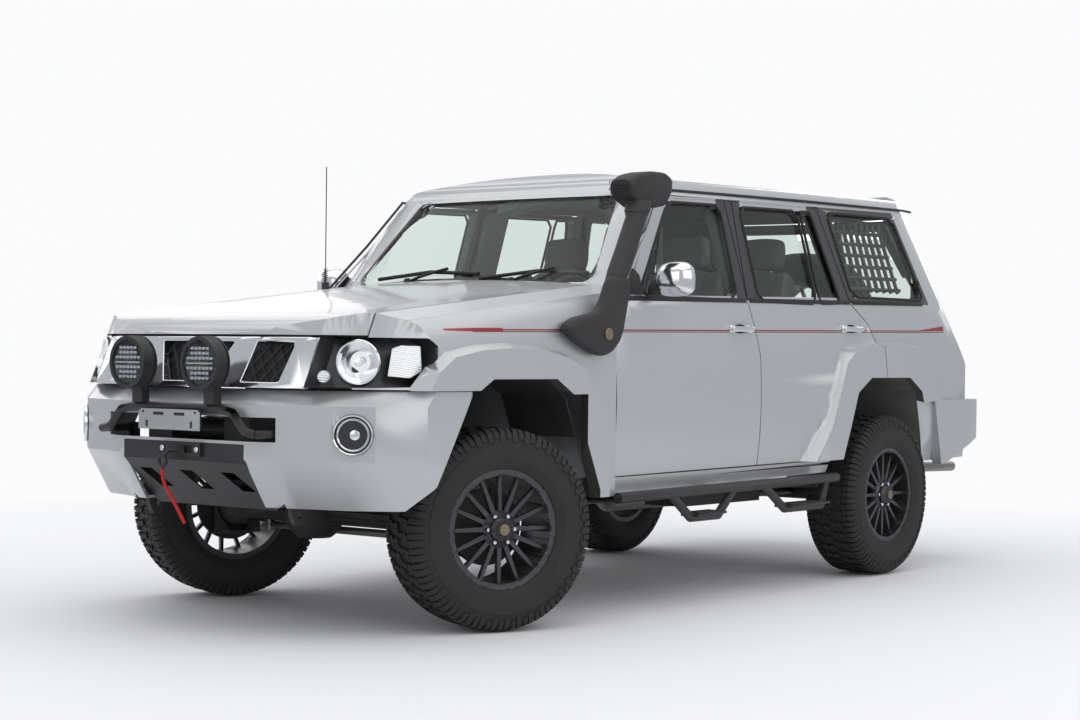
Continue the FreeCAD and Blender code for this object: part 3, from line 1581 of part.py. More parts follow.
def knuckle(name):
    """The steered end of the front axle about its kingpin, with brake disc and spindle."""
    z = as_size(0)
    half = D.knuckle_half
    shell = disc(name + "_cap", (0, 0, -half), D.swivel_radius + 22, half * 2, "z")
    ball = doc.addObject("Part::Sphere", name + "_socket")
    bind(ball, "Radius", D.swivel_radius + D.gap)
    place(ball, 0, 0, 0)
    opening = box(name + "_opening", (-300, -20, -300), (300, 300, 300))
    cup = cut(name + "_cup", shell, ball, opening)
    pin_top = disc(name + "_pin_top", (0, 0, D.swivel_radius + 1), 30, half - D.swivel_radius - 1, "z")
    pin_low = disc(name + "_pin_low", (0, 0, -half), 30, half - D.swivel_radius - 1, "z")
    plate_top = box(name + "_plate_top", (-45, -60, half - 16), (45, 40, half))
    plate_low = box(name + "_plate_low", (-45, -60, -half), (45, 40, -half + 16))
    offset = D.wheel_centre_y - D.kingpin_y
    rotor_y = -offset + D.brake_inset
    rotor = disc(name + "_rotor", (0, -D.swivel_radius - 32, z), D.brake_radius, 22)
    reach = D.brake_inset + D.hub_face - 6
    spindle = disc(
        name + "_spindle", (0, rotor_y - reach, z),
        D.spindle_radius, reach - D.swivel_radius - 11 - rotor_y)
    arm_z = D.tie_radius * 1.6 - D.tie_drop
    arm = box(name + "_arm", (80, -14, arm_z), (D.tie_arm + 16, 14, arm_z + 14))
    arm_root = box(name + "_arm_root", (80, -70, arm_z), (108, 14, arm_z + 14))
    pin = disc(
        name + "_tie_pin", (D.tie_arm, 0, -D.tie_drop - 24), D.tie_pin - 0.3, arm_z + D.tie_drop + 26, "z")
    return fused(
        name + "_solid", cup, pin_top, pin_low, plate_top, plate_low, rotor, spindle, arm, arm_root, pin)


knuckle_left = knuckle("knuckle")

tie_length = D.kingpin_y * 2
tie_ends = [disc(f"tie_end_{i}", (0, y, -24), 20, 48, "z") for i, y in enumerate((as_size(0), tie_length))]
tie_bores = [
    disc(f"tie_bore_{i}", (0, y, -40), D.tie_pin, 80, "z") for i, y in enumerate((as_size(0), tie_length))]
tie_rod = cut(
    "tie_rod_solid",
    fused("tie_rod_blank", disc("tie_bar", (0, 16, 0), D.tie_radius, tie_length - 32), *tie_ends),
    *tie_bores)

axle_top = D.tyre_radius + D.axle_radius
rail_foot = D.rail_low_z + D.rail_kick


def coil(name, x, y):
    """A coil spring between the axle and the rail above it, as a stack of joined turns."""
    low = axle_top + D.seat_gap
    step = (rail_foot - D.seat_gap - low) / 5
    half = [(D.coil_radius - 22, low)]
    for turn in range(5):
        base = low + step * turn
        half += [
            (D.coil_radius - 14, base), (D.coil_radius, base + step * 0.3),
            (D.coil_radius, base + step * 0.6),]
    half += [(D.coil_radius - 14, low + step * 5), (D.coil_radius - 22, low + step * 5)]
    section = outline(name + "_section", "XZ", half)
    turn = doc.addObject("Part::Revolution", name)
    turn.Source = section
    turn.Axis = AXES["z"]
    turn.Angle = 360
    turn.Solid = True
    return place(turn, x, y, 0)


suspension_pieces = []
for side in (-1, 1):
    label = "left" if side < 0 else "right"
    inner = (D.rail_y - 15) * side
    outer = (D.rail_y + D.rail_width / 2 + D.damper_radius + D.seat_gap) * side
    for x, key in ((as_size(0), "front"), (D.wheelbase, "rear")):
        suspension_pieces.append(coil(f"coil_{key}_{label}", x, D.rail_y * side))
        suspension_pieces.append(rod(
            f"damper_{key}_{label}", (x, outer, axle_top + 4),
            (x - 50, outer, rail_foot + 110), D.damper_radius))
    suspension_pieces.append(rod(
        f"radius_arm_{label}", (D.axle_radius + D.seat_gap, inner, D.tyre_radius),
        (790 - D.seat_gap, inner, 405), 24))
    suspension_pieces.append(rod(
        f"trailing_arm_{label}", (2155 + D.seat_gap, inner, 405),
        (D.wheelbase - D.axle_radius - D.seat_gap, inner, D.tyre_radius), 22))
suspension = gathered("suspension_all", *suspension_pieces)

engine_block = box("engine_form", (-420, -210, 700), (430, 210, 1130))
engine_foot = D.rail_y - D.rail_width / 2 - D.seat_gap
engine = fused(
    "engine", engine_block, box("engine_mounts", (-60, -engine_foot, 700), (20, engine_foot, 738)))
gearbox = fused(
    "gearbox",
    box("gear_case", (470, -140, 385), (1180, 140, 570)),
    rod("front_shaft", (305, D.diff_offset, 415), (1080, 100, 430), 28),
    rod("rear_shaft", (1100, 30, 425), (D.wheelbase - 304.5, D.diff_offset, 415), 30))
tank = box("tank", (1530, -660, 400), (2200, -D.rail_y - D.rail_width / 2 - D.seat_gap, 560))


def bend_collar(name, before, corner, after, radius):
    """The clamped sleeve over a bend, square to the line that halves the bend."""
    back = math.dist(before, corner)
    ahead = math.dist(corner, after)
    half = radius * 1.1
    run = [(c - b) / back + (a - c) / ahead for b, c, a in zip(before, corner, after)]
    length = math.dist(run, (0, 0, 0))
    start = [c - r * half / length for c, r in zip(corner, run)]
    end = [c + r * half / length for c, r in zip(corner, run)]
    return rod(name, start, end, radius * 1.5)


def pipe(name, points, radius):
    """A bent pipe of straight runs, with a sleeve over each bend."""
    runs = [rod(f"{name}_run{i + 1}", a, b, radius) for i, (a, b) in enumerate(zip(points, points[1:]))]
    sleeves = [
        bend_collar(f"{name}_sleeve{i + 1}", *three, radius)
        for i, three in enumerate(zip(points, points[1:], points[2:]))]
    return fused(name, *runs, *sleeves)


exhaust = fused(
    "exhaust_solid",
    pipe("exhaust_pipe", [
        (900, -235, 425), (2150, -260, 425), (2620, -270, 530), (3350, -270, 530), (3600, -690, 512),
        (4060, -740, 505)], 27),
    rod("silencer", (1500, -247, 425), (2020, -257, 425), 68))

steps = []
step_tube = tube("step_tube", "XZ", [
    (D.step_front_x, D.step_z - 6), (D.step_rear_x, D.step_z + 12)], D.step_radius, -D.step_y)
for index, (a, b, c, d) in enumerate(((1000, 1165, 1385, 1515), (1765, 1950, 2280, 2322))):
    steps.append(tube(f"step_drop{index + 1}", "XZ", [
        (a, D.step_z), (b, D.tread_low_z), (c, D.tread_low_z), (d, D.step_z)], 20, -D.step_y))
for index, x in enumerate((720, 1480, 2260)):
    steps.append(
        rod(f"step_arm{index + 1}", (x, -D.step_y + 8, D.step_z - 17),
            (x, -D.rail_y - 41, D.rail_low_z + 22), 14))
side_step = fused("side_step", step_tube, *steps)

snorkel_low_points = [
    (243, 1200), (300, 1262), (470, 1292), (512, 1390),
    (700, 1420), (655, 1290), (612, 1156), (502, 1095), (330, 1150),
]
snorkel_low = cut(
    "snorkel_low", side_prism(
        "snorkel_boot", snorkel_low_points, start=-D.wing_y - D.snorkel_thick, end=-D.wing_y + 60,
        radius=24),
    clip_outer)
snorkel_neck = prism(
    "snorkel_neck", "XY",
    [(D.snorkel_x - 30, -D.wing_y - D.snorkel_thick + 10),
        (D.snorkel_x + D.snorkel_wide - 30, -D.wing_y - D.snorkel_thick + 10),
     (D.snorkel_x + D.snorkel_wide - 30, -D.wing_y + 20), (D.snorkel_x - 30, -D.wing_y + 20)],
    D.snorkel_foot_z, D.snorkel_top_z, radius=20, lean=(D.snorkel_lean, 0.262))
snorkel_head = prism(
    "snorkel_head", "XZ", [
        (790, 1770), (770, 1860), (900, 1905), (1060, 1910), (1110, 1880), (1060, 1745), (900, 1730)],
    -900, -770, radius=18)
snorkel = cut(
    "snorkel_solid",
    fused("snorkel_whole", snorkel_low, snorkel_neck, snorkel_head), body_outer, clip_outer)

mirror_face = [
    (-D.mirror_y - D.mirror_wide, D.mirror_z + 18),
    (-D.mirror_y - D.mirror_wide + 6, D.mirror_z + D.mirror_high - 12),
    (-D.mirror_y - 30, D.mirror_z + D.mirror_high),
    (-D.mirror_y, D.mirror_z + D.mirror_high - 30),
    (-D.mirror_y, D.mirror_z + 14),
    (-D.mirror_y - 20, D.mirror_z),
]
mirror_plan = [
    (D.mirror_x + D.mirror_deep, -D.mirror_y - D.mirror_wide),
    (D.mirror_x + D.mirror_deep * 0.45, -D.mirror_y - D.mirror_wide),
    (D.mirror_x, -D.mirror_y - D.mirror_wide * 0.72),
    (D.mirror_x, -D.mirror_y - 20),
    (D.mirror_x + D.mirror_deep * 0.4, -D.mirror_y + 1),
    (D.mirror_x + D.mirror_deep, -D.mirror_y + 1),
]
mirror_head = common(
    "mirror_head",
    prism("mirror_front", "YZ", mirror_face, D.mirror_x - 10, D.mirror_x + D.mirror_deep, radius=14),
    prism("mirror_top", "XY", mirror_plan, D.mirror_z - 10, D.mirror_z + D.mirror_high + 10, radius=16))
mirror_arm = box(
    "mirror_arm", (D.mirror_x - 94, -D.mirror_y - 30, D.mirror_z + 20),
    (D.mirror_x + 30, -D.mirror_y + 110, D.mirror_z + 60))
mirror = cut("mirror_solid", fused("mirror_whole", mirror_head, mirror_arm), body_outer)

aerial = fused(
    "aerial_solid", cut(
        "aerial_foot", disc("aerial_base", (D.aerial_x, D.aerial_y, 1370), 18, 60, "z"), clip_outer),
    disc("aerial_whip", (D.aerial_x, D.aerial_y, 1420), 2.5, D.aerial_top_z - 1420, "z"))


def seat(name, x, y, wide):
    level = floor_at(x + 450)
    cushion = box(name + "_cushion", (x, y - wide / 2, level + 180), (x + 480, y + wide / 2, level + 330))
    base = box(
        name + "_base",
        (x + 40, y - wide / 2 + 60, level + D.seat_gap), (x + 440, y + wide / 2 - 60, level + 180))
    foot = level + 330 + D.seat_gap
    back = prism(
        name + "_back", "XZ",
        [(x + 440, foot), (x + 560, foot), (x + 700, level + 860), (x + 600, level + 870)],
        y - wide / 2, y + wide / 2)
    heads = []
    for index in range(max(1, round(wide / 500))):
        middle = y - wide / 2 + wide / max(1, round(wide / 500)) * (index + 0.5)
        heads.append(
            box(f"{name}_head{index + 1}",
                (x + 620, middle - 130, level + 865), (x + 710, middle + 130, level + 1040)))
    lower = fused(name + "_lower", cushion, base)
    return gathered(name + "_parts", lower, fused(name + "_upper", back, *heads))


front_seats = gathered(
    "front_seats_all", seat("seat_left", 1300, -370, 520), seat("seat_right", 1300, 370, 520))
rear_seat = seat("bench", 1930, 0, 1240)
dash_form = common("dash_form", body_post, prism(
    "dash_profile", "XZ",
    [(700, 1000), (700, 1380), (800, 1405), (960, 1350), (1010, 1100), (900, 1000)], -770, 770))
console = box("console", (720, -120, floor_at(1180) + D.seat_gap), (1180, 120, 1010))
dash = fused("dash_solid", dash_form, console, rod("column", (960, -370, 1180), (1130, -370, 1260), 24))
wheel_ring = doc.addObject("Part::Torus", "steering_ring")
bind(wheel_ring, "Radius1", 185)
bind(wheel_ring, "Radius2", 14)
wheel_ring.Placement = Placement(Vector(), Rotation(AXES["y"], 66))
place(wheel_ring, 1140, -370, 1265)
dash = fused("dash_all", dash, wheel_ring, rod("wheel_bar", (1140, -540, 1265), (1140, -200, 1265), 14))

liner = cut(
    "liner",
    side_prism("liner_outer", front_arch, start=-D.wing_y + D.skin + 2, end=-560, grow=4),
    side_prism("liner_inner", front_arch, start=-REACH, end=-500, grow=-4),
    box("liner_low", (-900, -REACH, 0), (900, 0, 760)),
    box("liner_nose", (-900, -REACH, 0), (-250, 0, D.bumper_top_z)))

grille_form = common(
    "grille_form", cut("grille_depth", clip_outer, clip_volume("clip_grille", as_size(40))),
    box("grille_block", (D.nose_x - 200, -D.lamp_in_y + D.seat_gap, D.grille_low_z),
        (-500, D.lamp_in_y - D.seat_gap, D.grille_top_z)))
grille_holes = [cross_prism("grille_hole_middle", trapezoid(128, 985, 205, 1138), -1200, -500)]
for side in (-1, 1):
    grille_holes.append(cross_prism(
        f"grille_hole{side + 2}",
        [(side * 325, 1138), (side * 500, 1138), (side * 478, 985), (side * 303, 985)], -1200, -500))
grille = cut("grille_solid", grille_form, *grille_holes)

def tow_eye(name, y):
    """A lug under the front rail with a cross bore for a shackle pin."""
    plate = prism(
        name + "_plate", "XZ",
        [(D.tow_eye_x - 65, rail_foot - D.seat_gap), (D.tow_eye_x + 85, rail_foot - D.seat_gap),
         (D.tow_eye_x + 40, 470), (D.tow_eye_x + 20, 432),
         (D.tow_eye_x - 20, 432), (D.tow_eye_x - 40, 470)],
        y - D.tow_plate / 2, y + D.tow_plate / 2)
    return cut(
        name, plate, disc(name + "_bore", (D.tow_eye_x, y - 50, D.tow_eye_z), D.tow_eye_bore, 100, "y"))


tongue_blank = box(
    "tongue_blank", (3885 + D.seat_gap, -70, rail_foot - 26),
    (D.tongue_x + 60, 70, rail_foot - 26 + D.tongue_thick))
tongue_heel = box("tongue_heel", (3885 + D.seat_gap, -70, rail_foot - 26), (3905, 70, rail_foot + 80))
tongue = cut(
    "tongue", fused("tongue_form", tongue_blank, tongue_heel),
    disc("tongue_bore", (D.tongue_x, 0, rail_foot - 80), D.tongue_bore, 120, "z"))
tow_points = gathered("tow_points_all", pair("tow_eyes", tow_eye("tow_eye", -D.rail_y)), tongue)

front_knuckle_left = knuckle_left
front_knuckle_right = mirrored("knuckle_mirror", knuckle_left)
tyre_right = mirrored("tyre_mirror", tyre)
rim_right = mirrored("rim_mirror", rim)
front_door_right = mirrored("front_door_mirror", front_door)
rear_door_right = mirrored("rear_door_mirror", rear_door)
steer = -D.rest_steer


def at_kingpin(name, thing, side):
    copy = gathered(name, thing)
    copy.Placement = Placement(Vector(), Rotation(AXES["z"], steer.value))
    return place(copy, 0, D.kingpin_y * side, D.tyre_radius)


tie_rod_placed = place(
    gathered("tie_rod_placed", tie_rod),
    D.tie_arm * cosine(steer), D.tie_arm * sine(steer) - D.kingpin_y, D.tyre_radius - D.tie_drop)

# The finished pieces

rear_tip = D.spare_x + D.tyre_width / 2
shift = -(D.spot_face_x + rear_tip) / 2


pieces = {
    "ladder_frame": frame,
    "body_shell": shell,
    "front_wings": pair("wings", wing),
    "flares": gathered("flares_all", pair("front_flares", front_flare), pair("body_flares", body_flare)),
    "arch_liners": pair("liners", liner),
    "grille": grille,
    "headlamps": gathered("front_lights", pair("headlamp_pair", headlamp), fog_lamps),
    "front_bumper": front_bumper,
    "bumper_guard": bumper_guard,
    "lamp_hoop": hoop,
    "spot_lamps": spot_lamps,
    "winch": gathered("winch_and_hook", winch, winch_hook),
    "hook_strap": hook_strap,
    "rear_bumper": rear_bumper,
    "tail_lamps": pair("tail_lamp_pair", lamp),
    "fixed_glass": gathered("fixed_glass_all", screen_glass, pair("quarter_panes", quarter_glass)),
    "side_steps": pair("step_pair", side_step),
    "snorkel": snorkel,
    "aerial": aerial,
    "front_seats": front_seats,
    "bench_seat": rear_seat,
    "dashboard": dash,
    "front_axle": front_axle,
    "rear_axle": rear_axle,
    "suspension": suspension,
    "tow_points": tow_points,
    "engine_block": engine,
    "driveline": gearbox,
    "fuel_tank": tank,
    "exhaust": exhaust,
    "bonnet": bonnet,
    "door_front_left": front_door,
    "door_front_right": front_door_right,
    "door_rear_left": rear_door,
    "door_rear_right": rear_door_right,
    "glass_front_left": front_glass,
    "glass_front_right": mirrored("front_glass_mirror", front_glass),
    "glass_rear_left": rear_glass,
    "glass_rear_right": mirrored("rear_glass_mirror", rear_glass),
    "mirror_left": mirror,
    "mirror_right": mirrored("mirror_mirror", mirror),
    "tail_door_left": tail_door_left,
    "tail_door_right": tail_door_right,
    "tail_glass_left": tail_glass_left,
    "tail_glass_right": tail_glass_right,
    "knuckle_left": at_kingpin("knuckle_left_placed", front_knuckle_left, -1),
    "knuckle_right": at_kingpin("knuckle_right_placed", front_knuckle_right, 1),
    "tie_rod": tie_rod_placed,
    "tyre_front_left": steered("tyre_fl", tyre, -1, steer),
    "tyre_front_right": steered("tyre_fr", tyre_right, 1, steer),
    "rim_front_left": steered("rim_fl", rim, -1, steer),
    "rim_front_right": steered("rim_fr", rim_right, 1, steer),
    "tyre_rear_left": upright("tyre_rl", tyre, D.wheelbase, -D.wheel_centre_y),
    "tyre_rear_right": upright("tyre_rr", tyre_right, D.wheelbase, D.wheel_centre_y),
    "rim_rear_left": upright("rim_rl", rim, D.wheelbase, -D.wheel_centre_y),
    "rim_rear_right": upright("rim_rr", rim_right, D.wheelbase, D.wheel_centre_y),
}
for label, piece in (("tyre_spare", tyre), ("rim_spare", rim)):
    copy = gathered(label + "_copy", piece)
    copy.Placement = Placement(Vector(), Rotation(AXES["z"], 90))
    pieces[label] = place(copy, D.spare_x, D.spare_y, D.spare_z)

for label, piece in pieces.items():
    whole = gathered(label + "_node", piece)
    whole.Label = label
    bind(whole, "Placement.Base.x", shift)
    NODES[label] = whole

doc.recompute()
faults = [thing.Name for thing in doc.Objects if "Invalid" in thing.State or "Error" in thing.State]
if faults:
    raise RuntimeError(f"failed: {faults}")
os.makedirs("parts", exist_ok=True)
for label, piece in NODES.items():
    shape = piece.Shape
    if shape.isNull() or not shape.isValid() or not shape.Solids:
        raise RuntimeError(f"no valid solid: {label}")
    shape.exportStep(f"parts/{label}.step")
print(f"{len(NODES)} pieces, origin shift {shift.value:.3f}")
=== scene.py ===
import bpy
import json
import math
from mathutils import Matrix, Vector


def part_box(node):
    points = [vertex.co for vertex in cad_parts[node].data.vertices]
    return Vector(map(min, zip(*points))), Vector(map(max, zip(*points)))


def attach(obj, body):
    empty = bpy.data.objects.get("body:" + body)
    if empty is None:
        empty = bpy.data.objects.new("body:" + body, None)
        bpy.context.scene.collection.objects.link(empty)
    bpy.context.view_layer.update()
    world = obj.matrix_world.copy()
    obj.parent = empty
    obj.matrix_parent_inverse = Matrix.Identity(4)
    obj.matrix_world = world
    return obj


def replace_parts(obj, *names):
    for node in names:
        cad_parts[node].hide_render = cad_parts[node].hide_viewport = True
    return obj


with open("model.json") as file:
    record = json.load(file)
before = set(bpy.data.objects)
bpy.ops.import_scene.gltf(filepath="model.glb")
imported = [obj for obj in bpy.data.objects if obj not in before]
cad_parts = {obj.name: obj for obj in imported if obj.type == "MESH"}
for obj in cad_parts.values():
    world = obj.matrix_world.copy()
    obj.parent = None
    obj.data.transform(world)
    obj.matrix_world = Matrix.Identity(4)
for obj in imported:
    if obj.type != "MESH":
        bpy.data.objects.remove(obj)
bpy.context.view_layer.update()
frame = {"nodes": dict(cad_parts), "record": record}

# The studio: a pale floor, a white surround and large soft lamps above and beside the vehicle.
# The camera stands where the photograph was taken from, low and ahead of the left front corner.
scene = bpy.context.scene
scene.view_settings.view_transform = "Standard"
bpy.ops.object.select_all(action="DESELECT")
camera_turn, camera_dip, camera_roll = 0.671, 0.017, 0.012
along = Vector((
    math.cos(camera_turn) * math.cos(camera_dip), math.sin(camera_turn) * math.cos(camera_dip),
    -math.sin(camera_dip)))
across = Vector((math.sin(camera_turn), -math.cos(camera_turn), 0))
above = across.cross(along)
right = across * math.cos(camera_roll) + above * math.sin(camera_roll)
upward = above * math.cos(camera_roll) - across * math.sin(camera_roll)
bpy.ops.object.camera_add(location=(-8.0529, -6.1199, 1.1063))
camera = bpy.context.object
camera.rotation_euler = Matrix((right, upward, -along)).transposed().to_euler()
camera.data.lens = 69.02
camera.data.sensor_width = 36
camera.data.shift_y = 0.0264
scene.camera = camera

world = bpy.data.worlds.new("surround")
scene.world = world
world.use_nodes = True
surround = world.node_tree
plain = surround.nodes["Background"]
plain.inputs["Color"].default_value = (0.93, 0.95, 1.0, 1)
plain.inputs["Strength"].default_value = 0.55
bright = surround.nodes.new("ShaderNodeBackground")
bright.inputs["Color"].default_value = (0.96, 0.965, 0.975, 1)
bright.inputs["Strength"].default_value = 1.0
rays = surround.nodes.new("ShaderNodeLightPath")
seen = surround.nodes.new("ShaderNodeMath")
seen.operation = "MAXIMUM"
surround.links.new(rays.outputs["Is Camera Ray"], seen.inputs[0])
surround.links.new(rays.outputs["Is Transmission Ray"], seen.inputs[1])
choose = surround.nodes.new("ShaderNodeMixShader")
surround.links.new(seen.outputs[0], choose.inputs[0])
surround.links.new(plain.outputs[0], choose.inputs[1])
surround.links.new(bright.outputs[0], choose.inputs[2])
surround.links.new(choose.outputs[0], surround.nodes["World Output"].inputs["Surface"])

for name, place, aim, width, depth, power in (
        ("softbox_top", (-0.4, 0.0, 5.6), (0, 0, 0), 11.0, 8.0, 225),
        ("softbox_left", (-1.0, -6.5, 3.4), (0.2, 0, 0.9), 8.0, 2.6, 85),
        ("softbox_nose", (-7.8, -0.6, 3.2), (-1.5, 0, 0.9), 6.0, 3.6, 60),
        ("softbox_right", (0.6, 6.5, 3.2), (0, 0, 1.0), 8.0, 2.4, 70),
        ("softbox_tail", (7.0, 0.8, 3.2), (1.6, 0, 0.9), 4.6, 2.4, 55)):
    bpy.ops.object.light_add(type="AREA", location=place)
    lamp = bpy.context.object
    lamp.name = name
    lamp.data.shape = "RECTANGLE"
    lamp.data.size, lamp.data.size_y = width, depth
    lamp.data.energy = power
    lamp.rotation_euler = (Vector(aim) - Vector(place)).to_track_quat("-Z", "Y").to_euler()
    lamp.data.color = (1.0, 0.985, 0.97)

bpy.ops.mesh.primitive_circle_add(vertices=96, radius=12, fill_type="NGON", location=(0, 0, -0.002))
floor = bpy.context.object
floor.name = "studio_floor"


# Ladder frame with its crossmembers, body mounts and towing points: pressed steel, welded,
# coated in satin black that has taken a little dust in scattered patches.
class Wire:
    """One socket of a finish, which sums, products and comparisons turn into Math nodes."""

    def __init__(self, finish, socket):
        self.finish, self.socket = finish, socket

    def join(self, operation, left, right):
        return self.finish.node("ShaderNodeMath", {"operation": operation}, {0: left, 1: right})

    def __add__(self, other):
        return self.join("ADD", self, other)

    def __radd__(self, other):
        return self.join("ADD", other, self)

    def __sub__(self, other):
        return self.join("SUBTRACT", self, other)

    def __rsub__(self, other):
        return self.join("SUBTRACT", other, self)

    def __mul__(self, other):
        return self.join("MULTIPLY", self, other)

    def __truediv__(self, other):
        return self.join("DIVIDE", self, other)

    def __pow__(self, other):
        return self.join("POWER", self, other)

    def __gt__(self, other):
        return self.join("GREATER_THAN", self, other)

    def __lt__(self, other):
        return self.join("LESS_THAN", self, other)

    def __mod__(self, other):
        return self.join("FLOORED_MODULO", self, other)

    def __abs__(self):
        return self.join("ABSOLUTE", self, 0)

    def clear(self):
        return self.finish.node("ShaderNodeClamp", {}, {0: self})


class Finish:
    """A material on the Principled shader, with its patterns wired by expressions."""

    def __init__(self, name, colour, rough, metal=0.0, **fixed):
        self.material = bpy.data.materials.new(name)
        self.material.use_nodes = True
        self.tree = self.material.node_tree
        self.shader = self.tree.nodes["Principled BSDF"]
        self.set("Base Color", (*colour, 1))
        self.set("Roughness", rough)
        self.set("Metallic", metal)
        for key, value in fixed.items():
            self.set(key.replace("_", " "), value)

    def set(self, key, value):
        if isinstance(value, Wire):
            self.tree.links.new(value.socket, self.shader.inputs[key])
        else:
            self.shader.inputs[key].default_value = value

    def node(self, kind, settings=None, sockets=None, out=0):
        made = self.tree.nodes.new(kind)
        for key, value in (settings or {}).items():
            setattr(made, key, value)
        for key, value in (sockets or {}).items():
            if isinstance(value, Wire):
                self.tree.links.new(value.socket, made.inputs[key])
            else:
                made.inputs[key].default_value = value
        return Wire(self, made.outputs[out])

    def place(self):
        """The point of the surface in the vehicle's own frame, as three wires."""
        point = self.node("ShaderNodeTexCoord", out="Object")
        split = self.tree.nodes.new("ShaderNodeSeparateXYZ")
        self.tree.links.new(point.socket, split.inputs[0])
        return [Wire(self, split.outputs[axis]) for axis in range(3)]

    def grain(self, scale, detail=4.0):
        point = self.node("ShaderNodeTexCoord", out="Object")
        return self.node("ShaderNodeTexNoise", {}, {
            "Vector": point, "Scale": scale, "Detail": detail, "Roughness": 0.55})

    def blend(self, mask, under, over):
        tones = [c if isinstance(c, Wire) else (*c, 1) for c in (under, over)]
        return self.node("ShaderNodeMix", {"data_type": "RGBA"}, {0: mask, 6: tones[0], 7: tones[1]}, out=2)

    def bump(self, height, strength, depth):
        self.set("Normal", self.node(
            "ShaderNodeBump", {}, {"Strength": strength, "Distance": depth, "Height": height}))


def worn(name, colour, dust, rough, metal=0.0, fine=120.0):
    """A plain coating with fine grain, uneven gloss and a film of dust in cloudy patches."""
    finish = Finish(name, colour, rough, metal)
    cloud = finish.grain(7.0)
    speck = finish.grain(fine, 2.0)
    film = (cloud * 1.6 - 0.55).clear() * 0.55
    finish.set("Base Color", finish.blend(film, colour, dust))
    finish.set("Roughness", (cloud * 0.22 + speck * 0.1 + (rough - 0.14)).clear())
    finish.bump(speck, 0.25, 0.0006)
    return finish


def select_only(*pieces):
    """Object mode with just these pieces selected, and the first of them active."""
    if bpy.context.mode != "OBJECT":
        bpy.ops.object.mode_set(mode="OBJECT")
    bpy.ops.object.select_all(action="DESELECT")
    for piece in reversed(pieces):
        piece.select_set(True)
        bpy.context.view_layer.objects.active = piece


def dress(node, *finishes, pick=None):
    """A CAD node's form as a joined mesh with smooth panels, in place of the node."""
    source = frame["nodes"][node]
    piece = bpy.data.objects.new(node + "_dressed", source.data.copy())
    scene.collection.objects.link(piece)
    piece.data.materials.clear()
    for finish in finishes:
        piece.data.materials.append(finish.material)
    select_only(piece)
    bpy.ops.object.mode_set(mode="EDIT")
    bpy.ops.mesh.select_all(action="SELECT")
    bpy.ops.mesh.remove_doubles(threshold=0.00002)
    bpy.ops.object.mode_set(mode="OBJECT")
    bpy.ops.object.shade_smooth_by_angle(angle=math.radians(24))
    for face in piece.data.polygons:
        face.material_index = pick(face.center, face.normal) if pick else 0
    bodies = frame["record"]["behaviour"]["bodies"]
    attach(piece, next(key for key, members in bodies.items() if node in members))
    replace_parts(piece, node)
    return piece


chassis_coat = worn("chassis_coat", (0.02, 0.02, 0.021), (0.10, 0.09, 0.075), 0.5)
for node in ("ladder_frame", "tow_points"):
    dress(node, chassis_coat)

# Axles, springs, shafts, engine, tank and exhaust: iron castings, steel tube and pressed sheet,
# bolted under the frame and left in their dull works finish.
cast_iron = worn("cast_iron", (0.035, 0.035, 0.037), (0.12, 0.11, 0.09), 0.6, 0.4, 90.0)
spring_coat = worn("spring_coat", (0.03, 0.03, 0.032), (0.09, 0.08, 0.07), 0.4)
bare_steel = worn("bare_steel", (0.32, 0.31, 0.30), (0.22, 0.17, 0.13), 0.42, 0.9, 150.0)
black_polymer = worn("black_polymer", (0.018, 0.018, 0.019), (0.05, 0.05, 0.05), 0.62, 0.0, 400.0)
for node, finish in (
        ("front_axle", cast_iron), ("rear_axle", cast_iron), ("knuckle_left", cast_iron),
        ("knuckle_right", cast_iron), ("tie_rod", bare_steel), ("suspension", spring_coat),
        ("driveline", bare_steel), ("engine_block", cast_iron), ("fuel_tank", black_polymer),
        ("exhaust", bare_steel), ("arch_liners", black_polymer)):
    dress(node, finish)

# Body, wings, doors and lids: pressed steel in silver metallic under clear lacquer.  A two-tone
# stripe runs along the side, and the posts between the side windows are matt black.
silver, stripe_red, stripe_grey = (0.50, 0.51, 0.53), (0.33, 0.012, 0.02), (0.10, 0.10, 0.11)
body_paint = Finish("body_paint", silver, 0.3, 0.55, Coat_Weight=0.6, Coat_Roughness=0.08)
x, y, z = body_paint.place()
flake = body_paint.grain(2600.0, 1.0)
line = z - (x + 1.361) * 0.0143 - 1.203
side = abs(y) > 0.6
run = (x > -1.9) * (x < 1.98)
lift = ((x - 1.70) * 0.075).clear()
nose = ((x + 2.08) * 0.045).clear() * ((x + 1.50) * -0.1).clear() * 12.0
red_band = side * (abs(line - lift * 0.6) < (0.003 + lift * 0.5)) * run
nose_band = side * (x > -2.06) * (x < -1.72) * (abs(line) < nose + 0.003)
grey_band = side * (abs(line + 0.0075) < 0.0022) * run
tone = body_paint.blend((flake * 0.5 - 0.1).clear(), silver, (0.60, 0.61, 0.63))
fall = (1.785 - z) * 2.35
band = side * (z > 1.345 + (x + 1.637) * 0.012) * (z < 1.80 + (x + 1.637) * 0.0207)
post_front = (x > fall * 0.006 - 0.004) * (x < fall * 0.02 + 0.2)
post_rear = (x > fall * 0.095 + 0.815) * (x < fall * 0.085 + 0.995)
quarter = (x > fall * 0.085 + 0.96) * (x < fall * 0.16 + 1.70)
posts = band * (post_front + post_rear + quarter).clear()
tone = body_paint.blend(grey_band, tone, stripe_grey)
tone = body_paint.blend(posts, tone, (0.012, 0.012, 0.013))
tone = body_paint.blend((red_band + nose_band).clear(), tone, stripe_red)
lamp_wrap = (abs(y) > 0.74) * (x > (1.343 - z) * 0.145 + 2.183) * (z > 0.916) * (z < 1.343)
tone = body_paint.blend(lamp_wrap, tone, (0.42, 0.014, 0.02))
body_paint.set("Base Color", tone)
body_paint.set("Roughness", flake * 0.08 + 0.32)
body_paint.set("Metallic", 0.5 - posts * 0.45)

